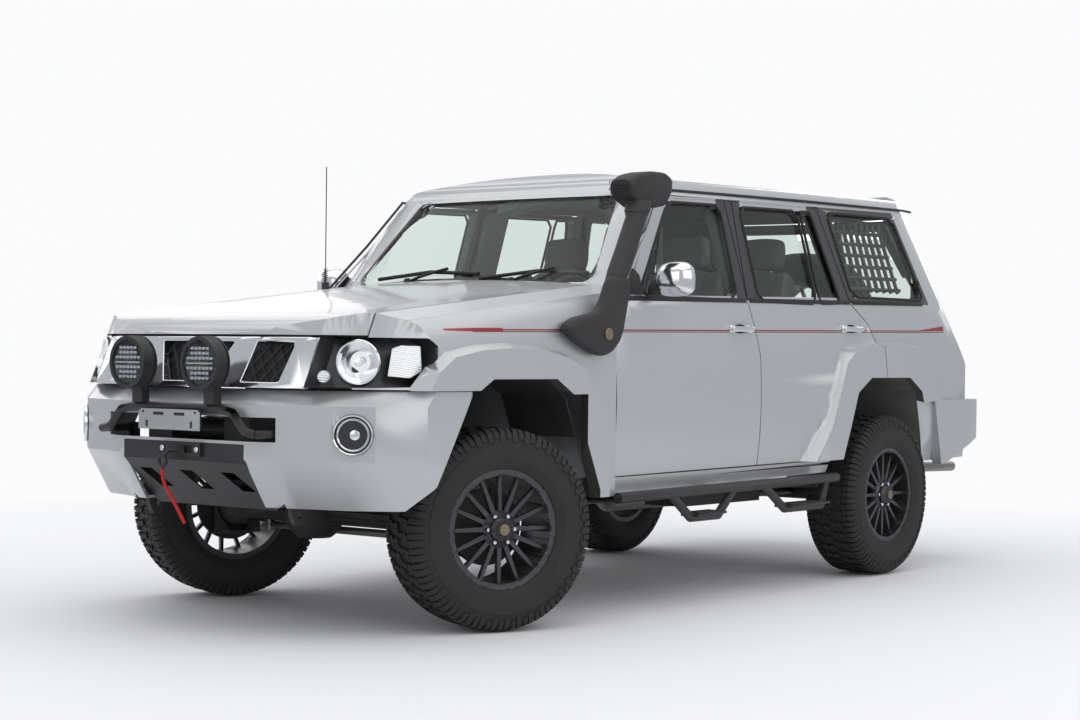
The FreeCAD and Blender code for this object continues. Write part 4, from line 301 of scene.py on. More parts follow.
lining = worn("cabin_lining", (0.33, 0.32, 0.30), (0.30, 0.29, 0.27), 0.75, 0.0, 260.0)
under_seal = worn("under_seal", (0.05, 0.05, 0.05), (0.11, 0.10, 0.085), 0.7, 0.0, 60.0)
axle_lines, axle_height, well_reach = (-1.637, 1.333), 0.41, 0.66


def in_well(centre, normal):
    """True on what lines a wheel's well rather than the outside of the body."""
    near = min(math.hypot(centre.x - axle_x, centre.z - axle_height) for axle_x in axle_lines)
    return near < well_reach and centre.z < 1.12 and normal.y * centre.y < 0.25 and abs(normal.z) < 0.97


def inward(centre, normal):
    """1 on the faces that look into the cabin, 2 on those that look at the ground, else 0."""
    middle = Vector((min(max(centre.x, -0.5), 1.75), 0, 1.25))
    if in_well(centre, normal) or centre.z < 0.92 and normal.z < -0.5:
        return 2
    return 1 if normal.dot(middle - centre) > 0.12 else 0


for node in (
        "body_shell", "door_front_left", "door_front_right", "door_rear_left", "door_rear_right",
        "tail_door_left", "tail_door_right"):
    dress(node, body_paint, lining, under_seal, pick=inward)
for node in ("front_wings", "flares"):
    dress(node, body_paint, under_seal, pick=lambda centre, normal: 1 if in_well(centre, normal) else 0)
for node in ("bonnet", "front_bumper", "rear_bumper"):
    dress(node, body_paint)


# Body trim: rubber seals round the side windows, black mouldings at the belt and under the roof
# edge, chrome pull handles with a key lock, and the cowl with its two wipers.
def at(x, y, z):
    """A point given in millimetres from the front axle line, in the vehicle's own frame."""
    return Vector(((x - 1637) / 1000, y / 1000, z / 1000))


def start(kind, name, **options):
    """A primitive at its size and place, open in edit mode with all of it selected."""
    select_only()
    getattr(bpy.ops.mesh, f"primitive_{kind}_add")(**options)
    piece = bpy.context.object
    piece.name = piece.data.name = name
    bpy.ops.object.transform_apply(location=True, rotation=True, scale=True)
    bpy.ops.object.mode_set(mode="EDIT")
    bpy.ops.mesh.select_all(action="SELECT")
    return piece


def settle(piece, finish, body="vehicle", slot="black_plastic", angle=32):
    """Closes a piece: normals out, smooth panels, its finish, and the body it rides on."""
    select_only(piece)
    bpy.ops.object.mode_set(mode="EDIT")
    bpy.ops.mesh.select_all(action="SELECT")
    bpy.ops.mesh.normals_make_consistent(inside=False)
    bpy.ops.object.mode_set(mode="OBJECT")
    bpy.ops.object.shade_smooth_by_angle(angle=math.radians(angle))
    piece.data.materials.clear()
    piece.data.materials.append(finish.material)
    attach(piece, body)
    return piece


def block(name, low, high, bevel=0.003, segments=2):
    """A block between two corners with rounded edges."""
    low, high = Vector(low), Vector(high)
    piece = start("cube", name, size=1, location=(low + high) / 2, scale=high - low)
    bpy.ops.mesh.bevel(offset=bevel, segments=segments, affect="EDGES")
    return piece


def turned(name, centre, axis, profile, steps=40, ring=False):
    """A round piece: rings of a profile of radius and depth drawn out along an axis."""
    direction = Vector(axis).normalized()
    radius, depth = profile[0]
    piece = start(
        "circle", name, vertices=steps, radius=radius, fill_type="NOTHING" if ring else "NGON",
        location=Vector(centre) + direction * depth, rotation=direction.to_track_quat("Z", "X").to_euler())
    for wide, deep in profile[1:]:
        bpy.ops.mesh.extrude_region_move(TRANSFORM_OT_translate={"value": direction * (deep - depth)})
        bpy.ops.transform.resize(value=(wide / radius,) * 3)
        radius, depth = wide, deep
    if ring:
        bpy.ops.mesh.select_all(action="SELECT")
        bpy.ops.mesh.remove_doubles(threshold=0.00002)
    return piece


def drawn(name, points, push=None, bevel=0, segments=2):
    """A flat outline drawn point by point, filled, and pushed out to its thickness."""
    points = [Vector(point) for point in points]
    piece = start("plane", name, size=0.001, location=points[0])
    bpy.ops.mesh.merge(type="CENTER")
    for a, b in zip(points, points[1:]):
        bpy.ops.mesh.extrude_region_move(TRANSFORM_OT_translate={"value": b - a})
    if push is not None:
        bpy.ops.mesh.select_all(action="SELECT")
        bpy.ops.mesh.edge_face_add()
        bpy.ops.mesh.extrude_region_move(TRANSFORM_OT_translate={"value": push})
        if bevel:
            bpy.ops.mesh.select_all(action="SELECT")
            bpy.ops.mesh.normals_make_consistent(inside=False)
            bpy.ops.mesh.bevel(offset=bevel, segments=segments, affect="EDGES")
    return piece


def bar(name, points, radius, closed=False, bend=False, sides=3):
    """A round bar along a path of points, or along the smooth curve that they steer."""
    path = list(points) + ([points[0]] if closed else [])
    piece = drawn(name, path)
    bpy.ops.mesh.select_all(action="SELECT")
    bpy.ops.mesh.remove_doubles(threshold=0.00002)
    bpy.ops.object.mode_set(mode="OBJECT")
    bpy.ops.object.convert(target="CURVE")
    piece = bpy.context.object
    piece.data.bevel_depth = radius
    piece.data.bevel_resolution = sides
    piece.data.use_fill_caps = not closed
    if bend:
        for spline in piece.data.splines:
            spline.type = "NURBS"
            spline.order_u = 3
            spline.use_endpoint_u = not closed
    bpy.ops.object.convert(target="MESH")
    return bpy.context.object


def again(piece, name, matrix):
    """Another of the same piece with its own mesh, moved by a matrix."""
    select_only()
    twin = bpy.data.objects.new(name, piece.data.copy())
    twin.data.transform(matrix)
    scene.collection.objects.link(twin)
    return twin


def joined(name, pieces):
    """Several meshes as one piece."""
    select_only(*pieces)
    bpy.ops.object.join()
    pieces[0].name = pieces[0].data.name = name
    return pieces[0]


across_middle = Matrix.Diagonal((1, -1, 1, 1))
rubber_seal = worn("rubber_seal", (0.012, 0.012, 0.012), (0.04, 0.04, 0.04), 0.65, 0.0, 300.0)
chrome = worn("chrome", (0.80, 0.81, 0.83), (0.66, 0.67, 0.68), 0.12, 1.0, 200.0)
black_coat = worn("black_coat", (0.018, 0.018, 0.019), (0.05, 0.05, 0.05), 0.42, 0.0, 500.0)
matt_black = worn("matt_black", (0.010, 0.010, 0.011), (0.035, 0.035, 0.035), 0.55, 0.0, 300.0)


def skin(x, z, out=0.0):
    """A point of the left side above the belt, where the body leans in towards the roof."""
    local = z - 0.0207 * x
    half = 886 - (local - 1322) / 484 * 134 if local > 1322 else 886 + (1322 - local) * 0.12
    return at(x, -half - out, z)


def both(piece, name, finish, bodies=("vehicle", "vehicle"), **options):
    """A left piece and its mirror image on the right."""
    twin = again(piece, name + "_right", across_middle)
    piece.name = piece.data.name = name + "_left"
    settle(piece, finish, body=bodies[0], **options)
    settle(twin, finish, body=bodies[1], **options)


front_doors = ("front_left_door", "front_right_door")
rear_doors = ("rear_left_door", "rear_right_door")
for name, corners, bodies in (
        ("front_window_seal", [(1235, 1795), (1655, 1805), (1640, 1362), (862, 1362)], front_doors),
        ("rear_window_seal", [(1824, 1808), (2340, 1820), (2340, 1362), (1824, 1362)], rear_doors),
        ("rear_light_seal", [(2372, 1820), (2468, 1822), (2572, 1372), (2372, 1364)], rear_doors),
        ("quarter_window_seal", [(2625, 1830), (3290, 1838), (3430, 1432), (3400, 1408), (2700, 1408)],
         ("vehicle", "vehicle"))):
    rim_points = []
    for (xa, za), (xb, zb) in zip(corners, corners[1:] + corners[:1]):
        rim_points += [skin(xa + (xb - xa) * k, za + (zb - za) * k, 0) for k in (0.08, 0.5, 0.92)]
    both(bar(name, rim_points, 0.007, closed=True), name, rubber_seal, bodies=bodies)
for name, ends, bodies in (
        ("front_belt_strip", (760, 1706), front_doors), ("rear_belt_strip", (1738, 2655), rear_doors),
        ("quarter_belt_strip", (2680, 3415), ("vehicle", "vehicle"))):
    low = 1338 + (ends[0] - 760) * 0.016
    strip = drawn(name, [
        skin(ends[0], low, 1), skin(ends[1], low + (ends[1] - ends[0]) * 0.016, 1),
        skin(ends[1], low + 20 + (ends[1] - ends[0]) * 0.016, 1), skin(ends[0], low + 20, 1)],
        Vector((0, -0.005, 0)), 0.0015)
    both(strip, name, rubber_seal, bodies=bodies)
for name, points, bodies in (
        ("front_frame_line", [(755, 1372), (1168, 1800), (1200, 1816), (1690, 1832)], front_doors),
        ("rear_frame_line", [(1742, 1834), (2500, 1848), (2548, 1836), (2668, 1384)], rear_doors)):
    both(bar(name, [skin(x, z, 0) for x, z in points], 0.0045), name, body_paint, bodies=bodies,
         slot="silver_paint")
gutter = [(1150, 1836), (1240, 1850), (1728, 1861), (2440, 1876), (3402, 1890), (3520, 1886)]
both(bar("drip_strip", [skin(x, z, 2) for x, z in gutter], 0.006), "drip_strip", matt_black)
pillar_line = [(745, 1385), (960, 1612), (1150, 1836)]
pillar_strip = bar("pillar_strip", [skin(x - 12, z + 4, 0) for x, z in pillar_line], 0.006)
both(pillar_strip, "pillar_strip", matt_black)

for name, x, z, bodies in (
        ("front_handle", 1625, 1229, front_doors), ("rear_handle", 2635, 1245, rear_doors)):
    grip = block(name, at(x - 92, -936, z - 13), at(x + 92, -918, z + 13), 0.008, 3)
    foot_front = block(name + "_foot_a", at(x - 94, -924, z - 19), at(x - 52, -893, z + 19), 0.009, 3)
    foot_rear = block(name + "_foot_b", at(x + 52, -924, z - 19), at(x + 94, -893, z + 19), 0.009, 3)
    both(joined(name, [grip, foot_front, foot_rear]), name, chrome, bodies=bodies, slot="chrome")
    cup = turned(name + "_cup", at(x, -905, z), (0, -1, 0), [
        (0.036, 0), (0.036, 0.004), (0.030, 0.005)], 32)
    bpy.ops.mesh.select_all(action="SELECT")
    bpy.ops.transform.resize(value=(1.35, 1, 0.62))
    both(cup, name + "_cup", matt_black, bodies=bodies)
lock = turned("door_lock", at(1748, -899, 1168), (0, -1, 0), [
    (0.013, 0), (0.013, 0.012), (0.010, 0.014), (0.003, 0.0135)], 24)
both(lock, "door_lock", chrome, bodies=front_doors, slot="chrome")

cowl = drawn("cowl_grille", [
    at(646, -620, 1398), at(700, -300, 1412), at(716, 0, 1416), at(700, 300, 1412), at(646, 620, 1398),
    at(690, 640, 1408), at(770, 300, 1436), at(782, 0, 1440), at(770, -300, 1436), at(690, -640, 1408)],
    Vector((0, 0, 0.006)), 0.0015)
settle(cowl, matt_black)
for side, pivot, tip in (("left", (700, -300), (860, -640)), ("right", (716, 330), (800, -60))):
    lift = 1420 if side == "left" else 1424
    heel = Vector((pivot[0] + 46, pivot[1] + 210))
    arm = bar(side + "_arm", [
        at(*pivot, lift), at(pivot[0] + 8, pivot[1] - 30, lift + 28),
        at((pivot[0] + tip[0]) / 2 + 14, (pivot[1] + tip[1]) / 2, lift + 66)], 0.007, bend=True)
    knob = turned(side + "_knob", at(*pivot, lift - 8), (-0.3, 0, 1), [
        (0.018, 0), (0.018, 0.02), (0.012, 0.03)], 24)
    blade = bar(side + "_blade", [
        at(heel.x - 18, heel.y, lift + 20), at((heel.x + tip[0]) / 2 - 8, (heel.y + tip[1]) / 2, lift + 52),
        at(tip[0] - 40, tip[1], lift + 40)], 0.009)
    settle(joined(side + "_wiper", [knob, arm, blade]), matt_black)

lip = drawn("roof_lip", [
    at(3700, -560, 1958), at(3745, -500, 1962), at(3765, 0, 1975), at(3745, 500, 1962), at(3700, 560, 1958),
    at(3640, 540, 1974), at(3640, -540, 1974)], Vector((0, 0, 0.012)), 0.004)
settle(lip, body_paint, slot="silver_paint")

# Window glass: toughened panes with a faint green-grey tint.  The windscreen and quarter panes are
# bonded to the shell, and those of the doors stand in rubber channels.
pane = Finish("window_pane", (0.82, 0.87, 0.85), 0.02, 0.0, Transmission_Weight=1.0, IOR=1.2)
veil = pane.grain(3.0)
pane.set("Roughness", veil * 0.02)
for node in (
        "fixed_glass", "glass_front_left", "glass_front_right", "glass_rear_left", "glass_rear_right",
        "tail_glass_left", "tail_glass_right"):
    dress(node, pane)

# Grille: a chromed surround with two wide slanted bars, over a black mesh of crossed wires that
# stands behind its openings.  It clips to the panel between the headlamps.
dress("grille", chrome)
bpy.ops.object.mode_set(mode="EDIT")
bpy.ops.mesh.select_all(action="DESELECT")
bpy.ops.mesh.edges_select_sharp(sharpness=math.radians(40))
bpy.ops.mesh.bevel(offset=0.004, segments=2, affect="EDGES")
bpy.ops.object.mode_set(mode="OBJECT")
bpy.ops.object.shade_smooth_by_angle(angle=math.radians(40))


def nose_at(y, z, out=0.0):
    """A point of the nose's face, which leans forward towards the bumper."""
    half = abs(y)
    plan = -862 + 10 * (half / 330) ** 2 if half < 330 else -852 + (half - 330) / 270 * 52
    return at(plan + 0.45 * (z - 1165) - out, y, z)


mesh_coat = worn("mesh_coat", (0.02, 0.021, 0.024), (0.05, 0.05, 0.05), 0.35, 0.3, 300.0)
wires = []
for lean in (-1, 1):
    for step in range(-16, 17):
        foot_y = step * 52
        strand = [(foot_y + lean * 112 * k, 975 + 155 * k) for k in (0, 0.5, 1)]
        if all(abs(y) < 560 for y, z in strand):
            wires.append(bar(
                f"mesh_wire_{lean}_{step}", [nose_at(y, z, -26) for y, z in strand], 0.0032, sides=1))
settle(joined("grille_mesh", wires), mesh_coat, slot="black_plastic")
backing = drawn("grille_back", [nose_at(y, 968, -34) for y in (-560, -330, 0, 330, 560)]
                + [nose_at(y, 1142, -34) for y in (560, 330, 0, -330, -560)], Vector((0.004, 0, 0)))
settle(backing, matt_black)

# Headlamps: a clear moulded cover over a dark housing with a round reflector and its bulb, a small
# round side lamp low inside and a ribbed indicator outside.  Fog lamps sit in the bumper.
cover = Finish("lamp_cover", (0.97, 0.98, 0.99), 0.02, 0.0, Transmission_Weight=1.0, IOR=1.03)
cover.set("Roughness", cover.grain(30.0) * 0.02)
housing = worn("lamp_housing", (0.03, 0.031, 0.033), (0.06, 0.06, 0.06), 0.35, 0.2, 250.0)
mirror_bowl = worn("reflector", (0.86, 0.87, 0.89), (0.75, 0.76, 0.78), 0.1, 1.0, 90.0)
ribbed = Finish("ribbed_lens", (0.72, 0.73, 0.74), 0.12, 0.35, Coat_Weight=0.5)
x, y, z = ribbed.place()
ribbed.bump(abs(((z * 1000 + x * 200) % 9) / 9 - 0.5), 0.9, 0.004)
ribbed.set("Roughness", ribbed.grain(60.0) * 0.1 + 0.08)


def lamp_face(centre, normal):
    """The clear cover on what looks forward or outward, and the dark housing elsewhere."""
    if centre.z < 0.9:
        return 1
    outward = abs(normal.y) > 0.5 and normal.y * centre.y > 0 and centre.x < -2.13
    return 0 if normal.x < -0.25 or outward else 1


dress("headlamps", cover, housing, pick=lamp_face)
sight = Vector((-0.86, -0.46, -0.06)).normalized()
lamp_centre = at(-690, -705, 1066)
bowl = turned("reflector", lamp_centre, sight, [
    (0.066, 0.004), (0.080, 0.040), (0.078, 0.041), (0.050, 0.012), (0.026, -0.006), (0.004, -0.010)], 48)
both(bowl, "reflector", mirror_bowl, slot="chrome")
rim = turned("reflector_rim", lamp_centre, sight, [
    (0.078, 0.036), (0.084, 0.046), (0.088, 0.040), (0.086, 0.020), (0.078, 0.036)], 48, ring=True)
both(rim, "reflector_rim", mirror_bowl, slot="chrome")
bulb = turned("lamp_bulb", lamp_centre, sight, [
    (0.012, -0.01), (0.012, 0.03), (0.017, 0.034), (0.015, 0.046), (0.004, 0.05)], 24)
both(bulb, "lamp_bulb", chrome, slot="lamp_glass")
side_lamp = turned("side_lamp", at(-822, -640, 1008), sight, [
    (0.024, -0.01), (0.024, 0.006), (0.020, 0.011), (0.004, 0.014)], 32)
both(side_lamp, "side_lamp", ribbed, slot="lamp_glass")
signal = drawn("indicator", [
    at(-668, -822, 1012), at(-600, -874, 1006), at(-545, -886, 1030), at(-548, -880, 1128),
    at(-610, -838, 1130), at(-634, -812, 1118)], Vector((0.020, 0.016, 0)), 0.004)
both(signal, "indicator", ribbed, slot="lamp_glass")
fog_axis = Vector((-0.796, -0.606, 0))
fog_spot = at(-795, -768, 792)
for name, profile, finish, slot in (
        ("fog_outer_ring", [
            (0.069, -0.01), (0.070, 0.008), (0.074, 0.011), (0.0765, 0.007), (0.0765, -0.01)],
         chrome, "chrome"),
        ("fog_inner_ring", [
            (0.054, -0.02), (0.055, 0.005), (0.059, 0.009), (0.063, 0.005), (0.063, -0.02)],
         chrome, "chrome"),
        ("fog_gap", [(0.062, -0.02), (0.062, 0.002), (0.071, 0.002), (0.071, -0.02)],
         matt_black, "black_plastic")):
    both(turned(name, fog_spot, fog_axis, profile + profile[:1], 48, ring=True), name, finish, slot=slot)
fog_bowl = turned("fog_bowl", fog_spot, fog_axis, [
    (0.056, 0.001), (0.050, -0.006), (0.044, -0.022), (0.030, -0.030), (0.004, -0.032)], 40)
both(fog_bowl, "fog_bowl", housing, slot="black_plastic")
fog_eye = turned("fog_eye", fog_spot + Vector((0.004, -0.006, 0)), fog_axis, [
    (0.030, -0.032), (0.030, -0.004), (0.027, -0.001), (0.026, -0.004), (0.018, 0.001), (0.004, 0.003)], 32)
both(fog_eye, "fog_eye", mirror_bowl, slot="chrome")

# Spot lamps: two round driving lamps bolted on the hoop, with ribbed black cans, an octagonal bezel
# and three rows of small chips above and below a light bar.
dress("spot_lamps", black_coat)
chip_glass = worn("chip_lens", (0.30, 0.32, 0.36), (0.45, 0.46, 0.48), 0.18, 0.6, 300.0)
level = 1053
for name, y in (("left_spot", -207), ("right_spot", 207)):
    parts = []
    for deep in range(5):
        parts.append(turned(f"{name}_fin_{deep}", at(-1050 + deep * 13, y, level), (1, 0, 0), [
            (0.098, 0), (0.1045, 0.002), (0.1045, 0.006), (0.098, 0.008), (0.098, 0)], 48, ring=True))
    parts.append(turned(f"{name}_bezel", at(-1059, y, level), (1, 0, 0), [
        (0.088, 0.012), (0.090, 0.0005), (0.101, 0.003), (0.104, 0.012), (0.088, 0.012)], 8, ring=True))
    settle(joined(f"{name}_can", parts), black_coat, slot="black_paint", angle=20)
    chips = []
    for column in range(-3, 4):
        for row in (-3, -2, -1, 1, 2, 3):
            aside, up = column * 21, row * 19
            spot = at(-1053, y + aside, level + up)
            if math.hypot(aside, up) < 72:
                chips.append(block(f"{name}_chip_{column}_{row}", spot - Vector((0.002, 0.0085, 0.0062)),
                                   spot + Vector((0.006, 0.0085, 0.0062)), 0.0022, 1))
    chips.append(block(
        f"{name}_bar", at(-1055, y - 74, level - 4), at(-1048, y + 74, level + 3), 0.0025, 2))
    settle(joined(f"{name}_chips", chips), chip_glass, slot="lamp_glass")
    glass = turned(f"{name}_glass", at(-1056, y, level), (1, 0, 0), [
        (0.086, 0), (0.088, 0.0008), (0.088, 0.0016)], 48)
    settle(glass, cover, slot="lamp_glass")

# Front bumper fittings: the black guard with its slots, the hoop, a slotted silver plate bracket,
# the winch and its fairlead, and the hook with its red pull strap.
for node in ("bumper_guard", "lamp_hoop", "winch"):
    dress(node, black_coat)
zinc = worn("zinc_plate", (0.44, 0.45, 0.46), (0.36, 0.36, 0.36), 0.4, 0.6, 200.0)
plate = drawn("plate_bracket", [
    at(-1019, y, z) for y, z in (
        (-176, 793), (176, 793), (176, 862), (160, 873), (-160, 873), (-176, 862))],
    Vector((-0.003, 0, 0)), 0.001)
settle(plate, zinc, slot="steel")
marks = []
for y, z, wide, high in ((-128, 815, 12, 26), (128, 815, 12, 26), (-60, 855, 60, 12), (60, 855, 60, 12),
                         (-150, 862, 10, 10), (150, 862, 10, 10)):
    marks.append(block(f"plate_slot_{y}_{z}", at(-1023, y - wide / 2, z - high / 2),
                       at(-1021.6, y + wide / 2, z + high / 2), 0.0006, 1))
settle(joined("plate_slots", marks), matt_black)
fairlead_bolts = [turned(f"fairlead_bolt_{side}", at(-964, side * 98, 718), (-1, 0, 0), [
    (0.012, 0), (0.012, 0.006), (0.009, 0.008), (0.003, 0.0085)], 6) for side in (-1, 1)]
settle(joined("fairlead_bolts", fairlead_bolts), chrome, slot="steel")
strap_cloth = worn("strap_cloth", (0.50, 0.012, 0.014), (0.34, 0.05, 0.05), 0.8, 0.0, 900.0)
bpy.ops.curve.primitive_bezier_curve_add()
pull_strap = bpy.context.object
pull_strap.name = pull_strap.data.name = "pull_strap"
pull_strap.data.splines.clear()
lay = pull_strap.data.splines.new("NURBS")
route = [at(-1004, y, z) for y, z in ((56, 639.7), (56, 591.7), (-10, 521.7), (-76, 433.7))]
lay.points.add(len(route) - 1)
for point, place in zip(lay.points, route):
    point.co = (*place, 1)
lay.order_u = 3
lay.use_endpoint_u = True
pull_strap.data.bevel_depth = 0.007
pull_strap.data.bevel_resolution = 4
pull_strap.data.use_fill_caps = True
pull_strap.data.materials.append(strap_cloth.material)
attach(pull_strap, "vehicle")
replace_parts(pull_strap, "hook_strap")

# Side steps, snorkel, aerial and door mirrors: coated tube, moulded polymer, a sprung whip on a
# ball foot, and chromed mirror shells on black feet.
for node in ("side_steps", "aerial"):
    dress(node, black_coat)


def lofted(name, rings, steps=28):
    """A tube drawn out through rings, each a centre and its half widths along x and y."""
    first = rings[0]
    piece = start("circle", name, vertices=steps, radius=1, fill_type="NGON", location=first[0])
    bpy.ops.transform.resize(value=(first[1], first[2], 1), center_override=first[0])
    for before, ring in zip(rings, rings[1:]):
        bpy.ops.mesh.extrude_region_move(TRANSFORM_OT_translate={"value": ring[0] - before[0]})
        bpy.ops.transform.resize(
            value=(ring[1] / before[1], ring[2] / before[2], 1), center_override=ring[0])
    return piece


boot = drawn("snorkel_boot", [
    at(x, -979, z) for x, z in (
        (246, 1196), (258, 1228), (300, 1254), (392, 1270), (462, 1284), (500, 1322), (536, 1392),
        (560, 1436), (668, 1436), (684, 1388), (660, 1290), (640, 1210), (612, 1156), (560, 1112),
        (502, 1096), (440, 1106), (330, 1150))], Vector((0, 0.064, 0)), 0.026, 4)
neck = lofted("snorkel_neck", [
    (at(600, -934, 1380), 0.046, 0.030), (at(618, -936, 1420), 0.056, 0.038),
    (at(648, -930, 1460), 0.060, 0.042), (at(720, -912, 1550), 0.058, 0.042),
    (at(790, -893, 1640), 0.056, 0.041), (at(838, -879, 1700), 0.055, 0.040),
    (at(846, -876, 1712), 0.060, 0.046), (at(862, -870, 1742), 0.060, 0.046)])
collar = lofted("snorkel_collar", [
    (at(850, -874, 1720), 0.064, 0.049), (at(856, -872, 1728), 0.066, 0.051),
    (at(866, -868, 1744), 0.066, 0.051), (at(884, -855, 1775), 0.070, 0.052)])
head = drawn("snorkel_head", [
    at(x, -899, z) for x, z in (
        (794, 1780), (776, 1822), (782, 1856), (840, 1886), (930, 1904), (1040, 1906), (1098, 1880),
        (1090, 1820), (1050, 1760), (960, 1744), (880, 1742))], Vector((0, 0.128, 0)), 0.022, 3)
settle(joined("snorkel_tube", [boot, neck, collar, head]), black_polymer, slot="black_plastic", angle=38)
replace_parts(bpy.data.objects["snorkel_tube"], "snorkel")
mouth = drawn("snorkel_mouth", [
    at(776, y, z) + Vector((0.4 * abs(z - 1828) / 1000, 0, 0)) for y, z in (
        (-882, 1800), (-888, 1822), (-880, 1848), (-858, 1860), (-812, 1860), (-792, 1848), (-784, 1822),
        (-792, 1800), (-812, 1790), (-858, 1790))], Vector((-0.004, 0, 0)), 0.0015, 1)
settle(mouth, matt_black)
combs = []
for row in range(4):
    for column in range(5):
        spot = at(771.5, -872 + column * 18 + (row % 2) * 9, 1802 + row * 15)
        combs.append(turned(f"comb_{row}_{column}", spot, (-1, 0, 0), [
            (0.0088, 0), (0.0088, 0.003), (0.0068, 0.003), (0.0068, 0), (0.0088, 0)], 6, ring=True))
settle(joined("snorkel_comb", combs), black_coat)
treads = []
for a, b in ((1171, 1385), (1951, 2290)):
    treads.append(drawn(f"step_tread_{a}", [
        at(a - 8, -1004, 392), at(b + 8, -1004, 398), at(b + 8, -906, 398), at(a - 8, -906, 392)],
        Vector((0, 0, 0.012)), 0.004))
    for rib in range(5):
        treads.append(block(f"tread_rib_{a}_{rib}", at(a + 8, -992 + rib * 18, 405),
                            at(b - 8, -986 + rib * 18, 412), 0.001, 1))
both(joined("step_treads", treads), "step_treads", black_coat, slot="black_paint")
badge = turned("snorkel_badge", at(512, -986, 1190), (0, -1, 0), [
    (0.026, -0.012), (0.026, 0.0), (0.022, 0.003), (0.020, 0.001), (0.003, 0.001)], 40)
bronze = worn("badge_bronze", (0.24, 0.19, 0.12), (0.20, 0.17, 0.12), 0.4, 0.6, 300.0)
settle(badge, bronze, slot="steel")
spring = bar("aerial_spring", [
    at(627 + 9 * math.cos(k * 0.9), 775 + 9 * math.sin(k * 0.9), 1432 + k * 1.5) for k in range(42)],
    0.0022, sides=2)
settle(spring, black_coat, slot="black_paint")


def rounded(piece, levels):
    """Softens the open piece by subdividing it."""
    bpy.ops.object.mode_set(mode="OBJECT")
    rounding = piece.modifiers.new("rounding", "SUBSURF")
    rounding.levels = levels
    bpy.ops.object.modifier_apply(modifier=rounding.name)


silvered = worn("mirror_glass", (0.62, 0.66, 0.70), (0.55, 0.58, 0.60), 0.06, 1.0, 20.0)
shell = drawn("mirror_shell", [
    at(964, -y, z) for y, z in (
        (934, 1372), (958, 1358), (1040, 1356), (1098, 1362), (1114, 1382), (1117, 1440), (1108, 1486),
        (1082, 1508), (1020, 1514), (966, 1508), (938, 1482), (930, 1430))], Vector((-0.030, 0, 0)))
bpy.ops.mesh.extrude_region_move(TRANSFORM_OT_translate={"value": (-0.030, 0, 0)})
bpy.ops.transform.resize(value=(1, 0.90, 0.88), center_override=at(904, -1020, 1436))
bpy.ops.mesh.extrude_region_move(TRANSFORM_OT_translate={"value": (-0.024, 0, 0)})
bpy.ops.transform.resize(value=(1, 0.72, 0.68), center_override=at(880, -1010, 1436))
bpy.ops.mesh.extrude_region_move(TRANSFORM_OT_translate={"value": (-0.009, 0, 0)})
bpy.ops.transform.resize(value=(1, 0.5, 0.45), center_override=at(871, -1000, 1436))
rounded(shell, 2)
glass = drawn("mirror_pane", [
    at(967, -y, z) for y, z in (
        (950, 1380), (1040, 1370), (1092, 1376), (1104, 1392), (1106, 1440), (1098, 1478), (1076, 1496),
        (1020, 1500), (968, 1494), (946, 1470))], Vector((-0.012, 0, 0)), 0.002)
arm = drawn("mirror_arm", [
    at(x, -918, z) for x, z in (
        (870, 1362), (940, 1362), (936, 1384), (924, 1420), (900, 1432), (880, 1400))],
    Vector((0, -0.040, 0)), 0.006)
for piece, finish, slot in (
        (shell, chrome, "chrome"), (glass, silvered, "window_glass"), (arm, matt_black, "black_plastic")):
    both(piece, piece.name, finish, bodies=front_doors, slot=slot)
for side in ("left", "right"):
    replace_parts(bpy.data.objects["mirror_shell_" + side], "mirror_" + side)
patch = drawn("mirror_foot", [
    skin(x, z, 1) for x, z in ((742, 1366), (888, 1366), (885, 1452), (852, 1480))],
    Vector((0, -0.012, 0)), 0.003)
both(patch, "mirror_foot", matt_black, bodies=front_doors)

# Tail: moulded red lamps with a paler middle band, clipped into the rear corners, and a coated pull
# handle on the wide door.
tail_red = Finish("tail_lens", (0.42, 0.014, 0.02), 0.1, 0.0, Coat_Weight=0.7)
x, y, z = tail_red.place()
middle_band = (z > 1.075) * (z < 1.175)
tail_red.set("Base Color", tail_red.blend(middle_band, (0.42, 0.014, 0.02), (0.62, 0.30, 0.27)))
tail_red.bump(abs(((z * 1000) % 8) / 8 - 0.5), 0.35, 0.002)
dress("tail_lamps", tail_red)
handle = block("tail_handle", at(3996, -122, 1196), at(4018, -28, 1226), 0.007, 3)
settle(handle, black_coat, body="right_tail_door", slot="black_paint")

# Cabin: cloth seats with headrests on bolted plinths, a moulded dashboard, a three-spoke steering
# wheel, and open grids of coated bar behind the rear side windows.
cloth = worn("seat_cloth", (0.16, 0.155, 0.15), (0.20, 0.19, 0.18), 0.85, 0.0, 700.0)
dress("dashboard", black_polymer)
pillow = start("cube", "pillow", size=1)
bpy.ops.mesh.subdivide(number_cuts=4)
bpy.ops.transform.tosphere(value=0.34)
rounded(pillow, 1)


def seat_pad(name, x, y, z, deep, wide, high, lean=0):
    """One crowned pad of a seat, leaning back by an angle in degrees."""
    place = Matrix.Translation(at(x, y, z)) @ Matrix.Rotation(math.radians(lean), 4, "Y")
    size = Matrix.Diagonal((deep / 1080, wide / 1080, high / 1080, 1))
    pad = settle(again(pillow, name, place @ size), cloth, slot="seat_cloth", angle=60)


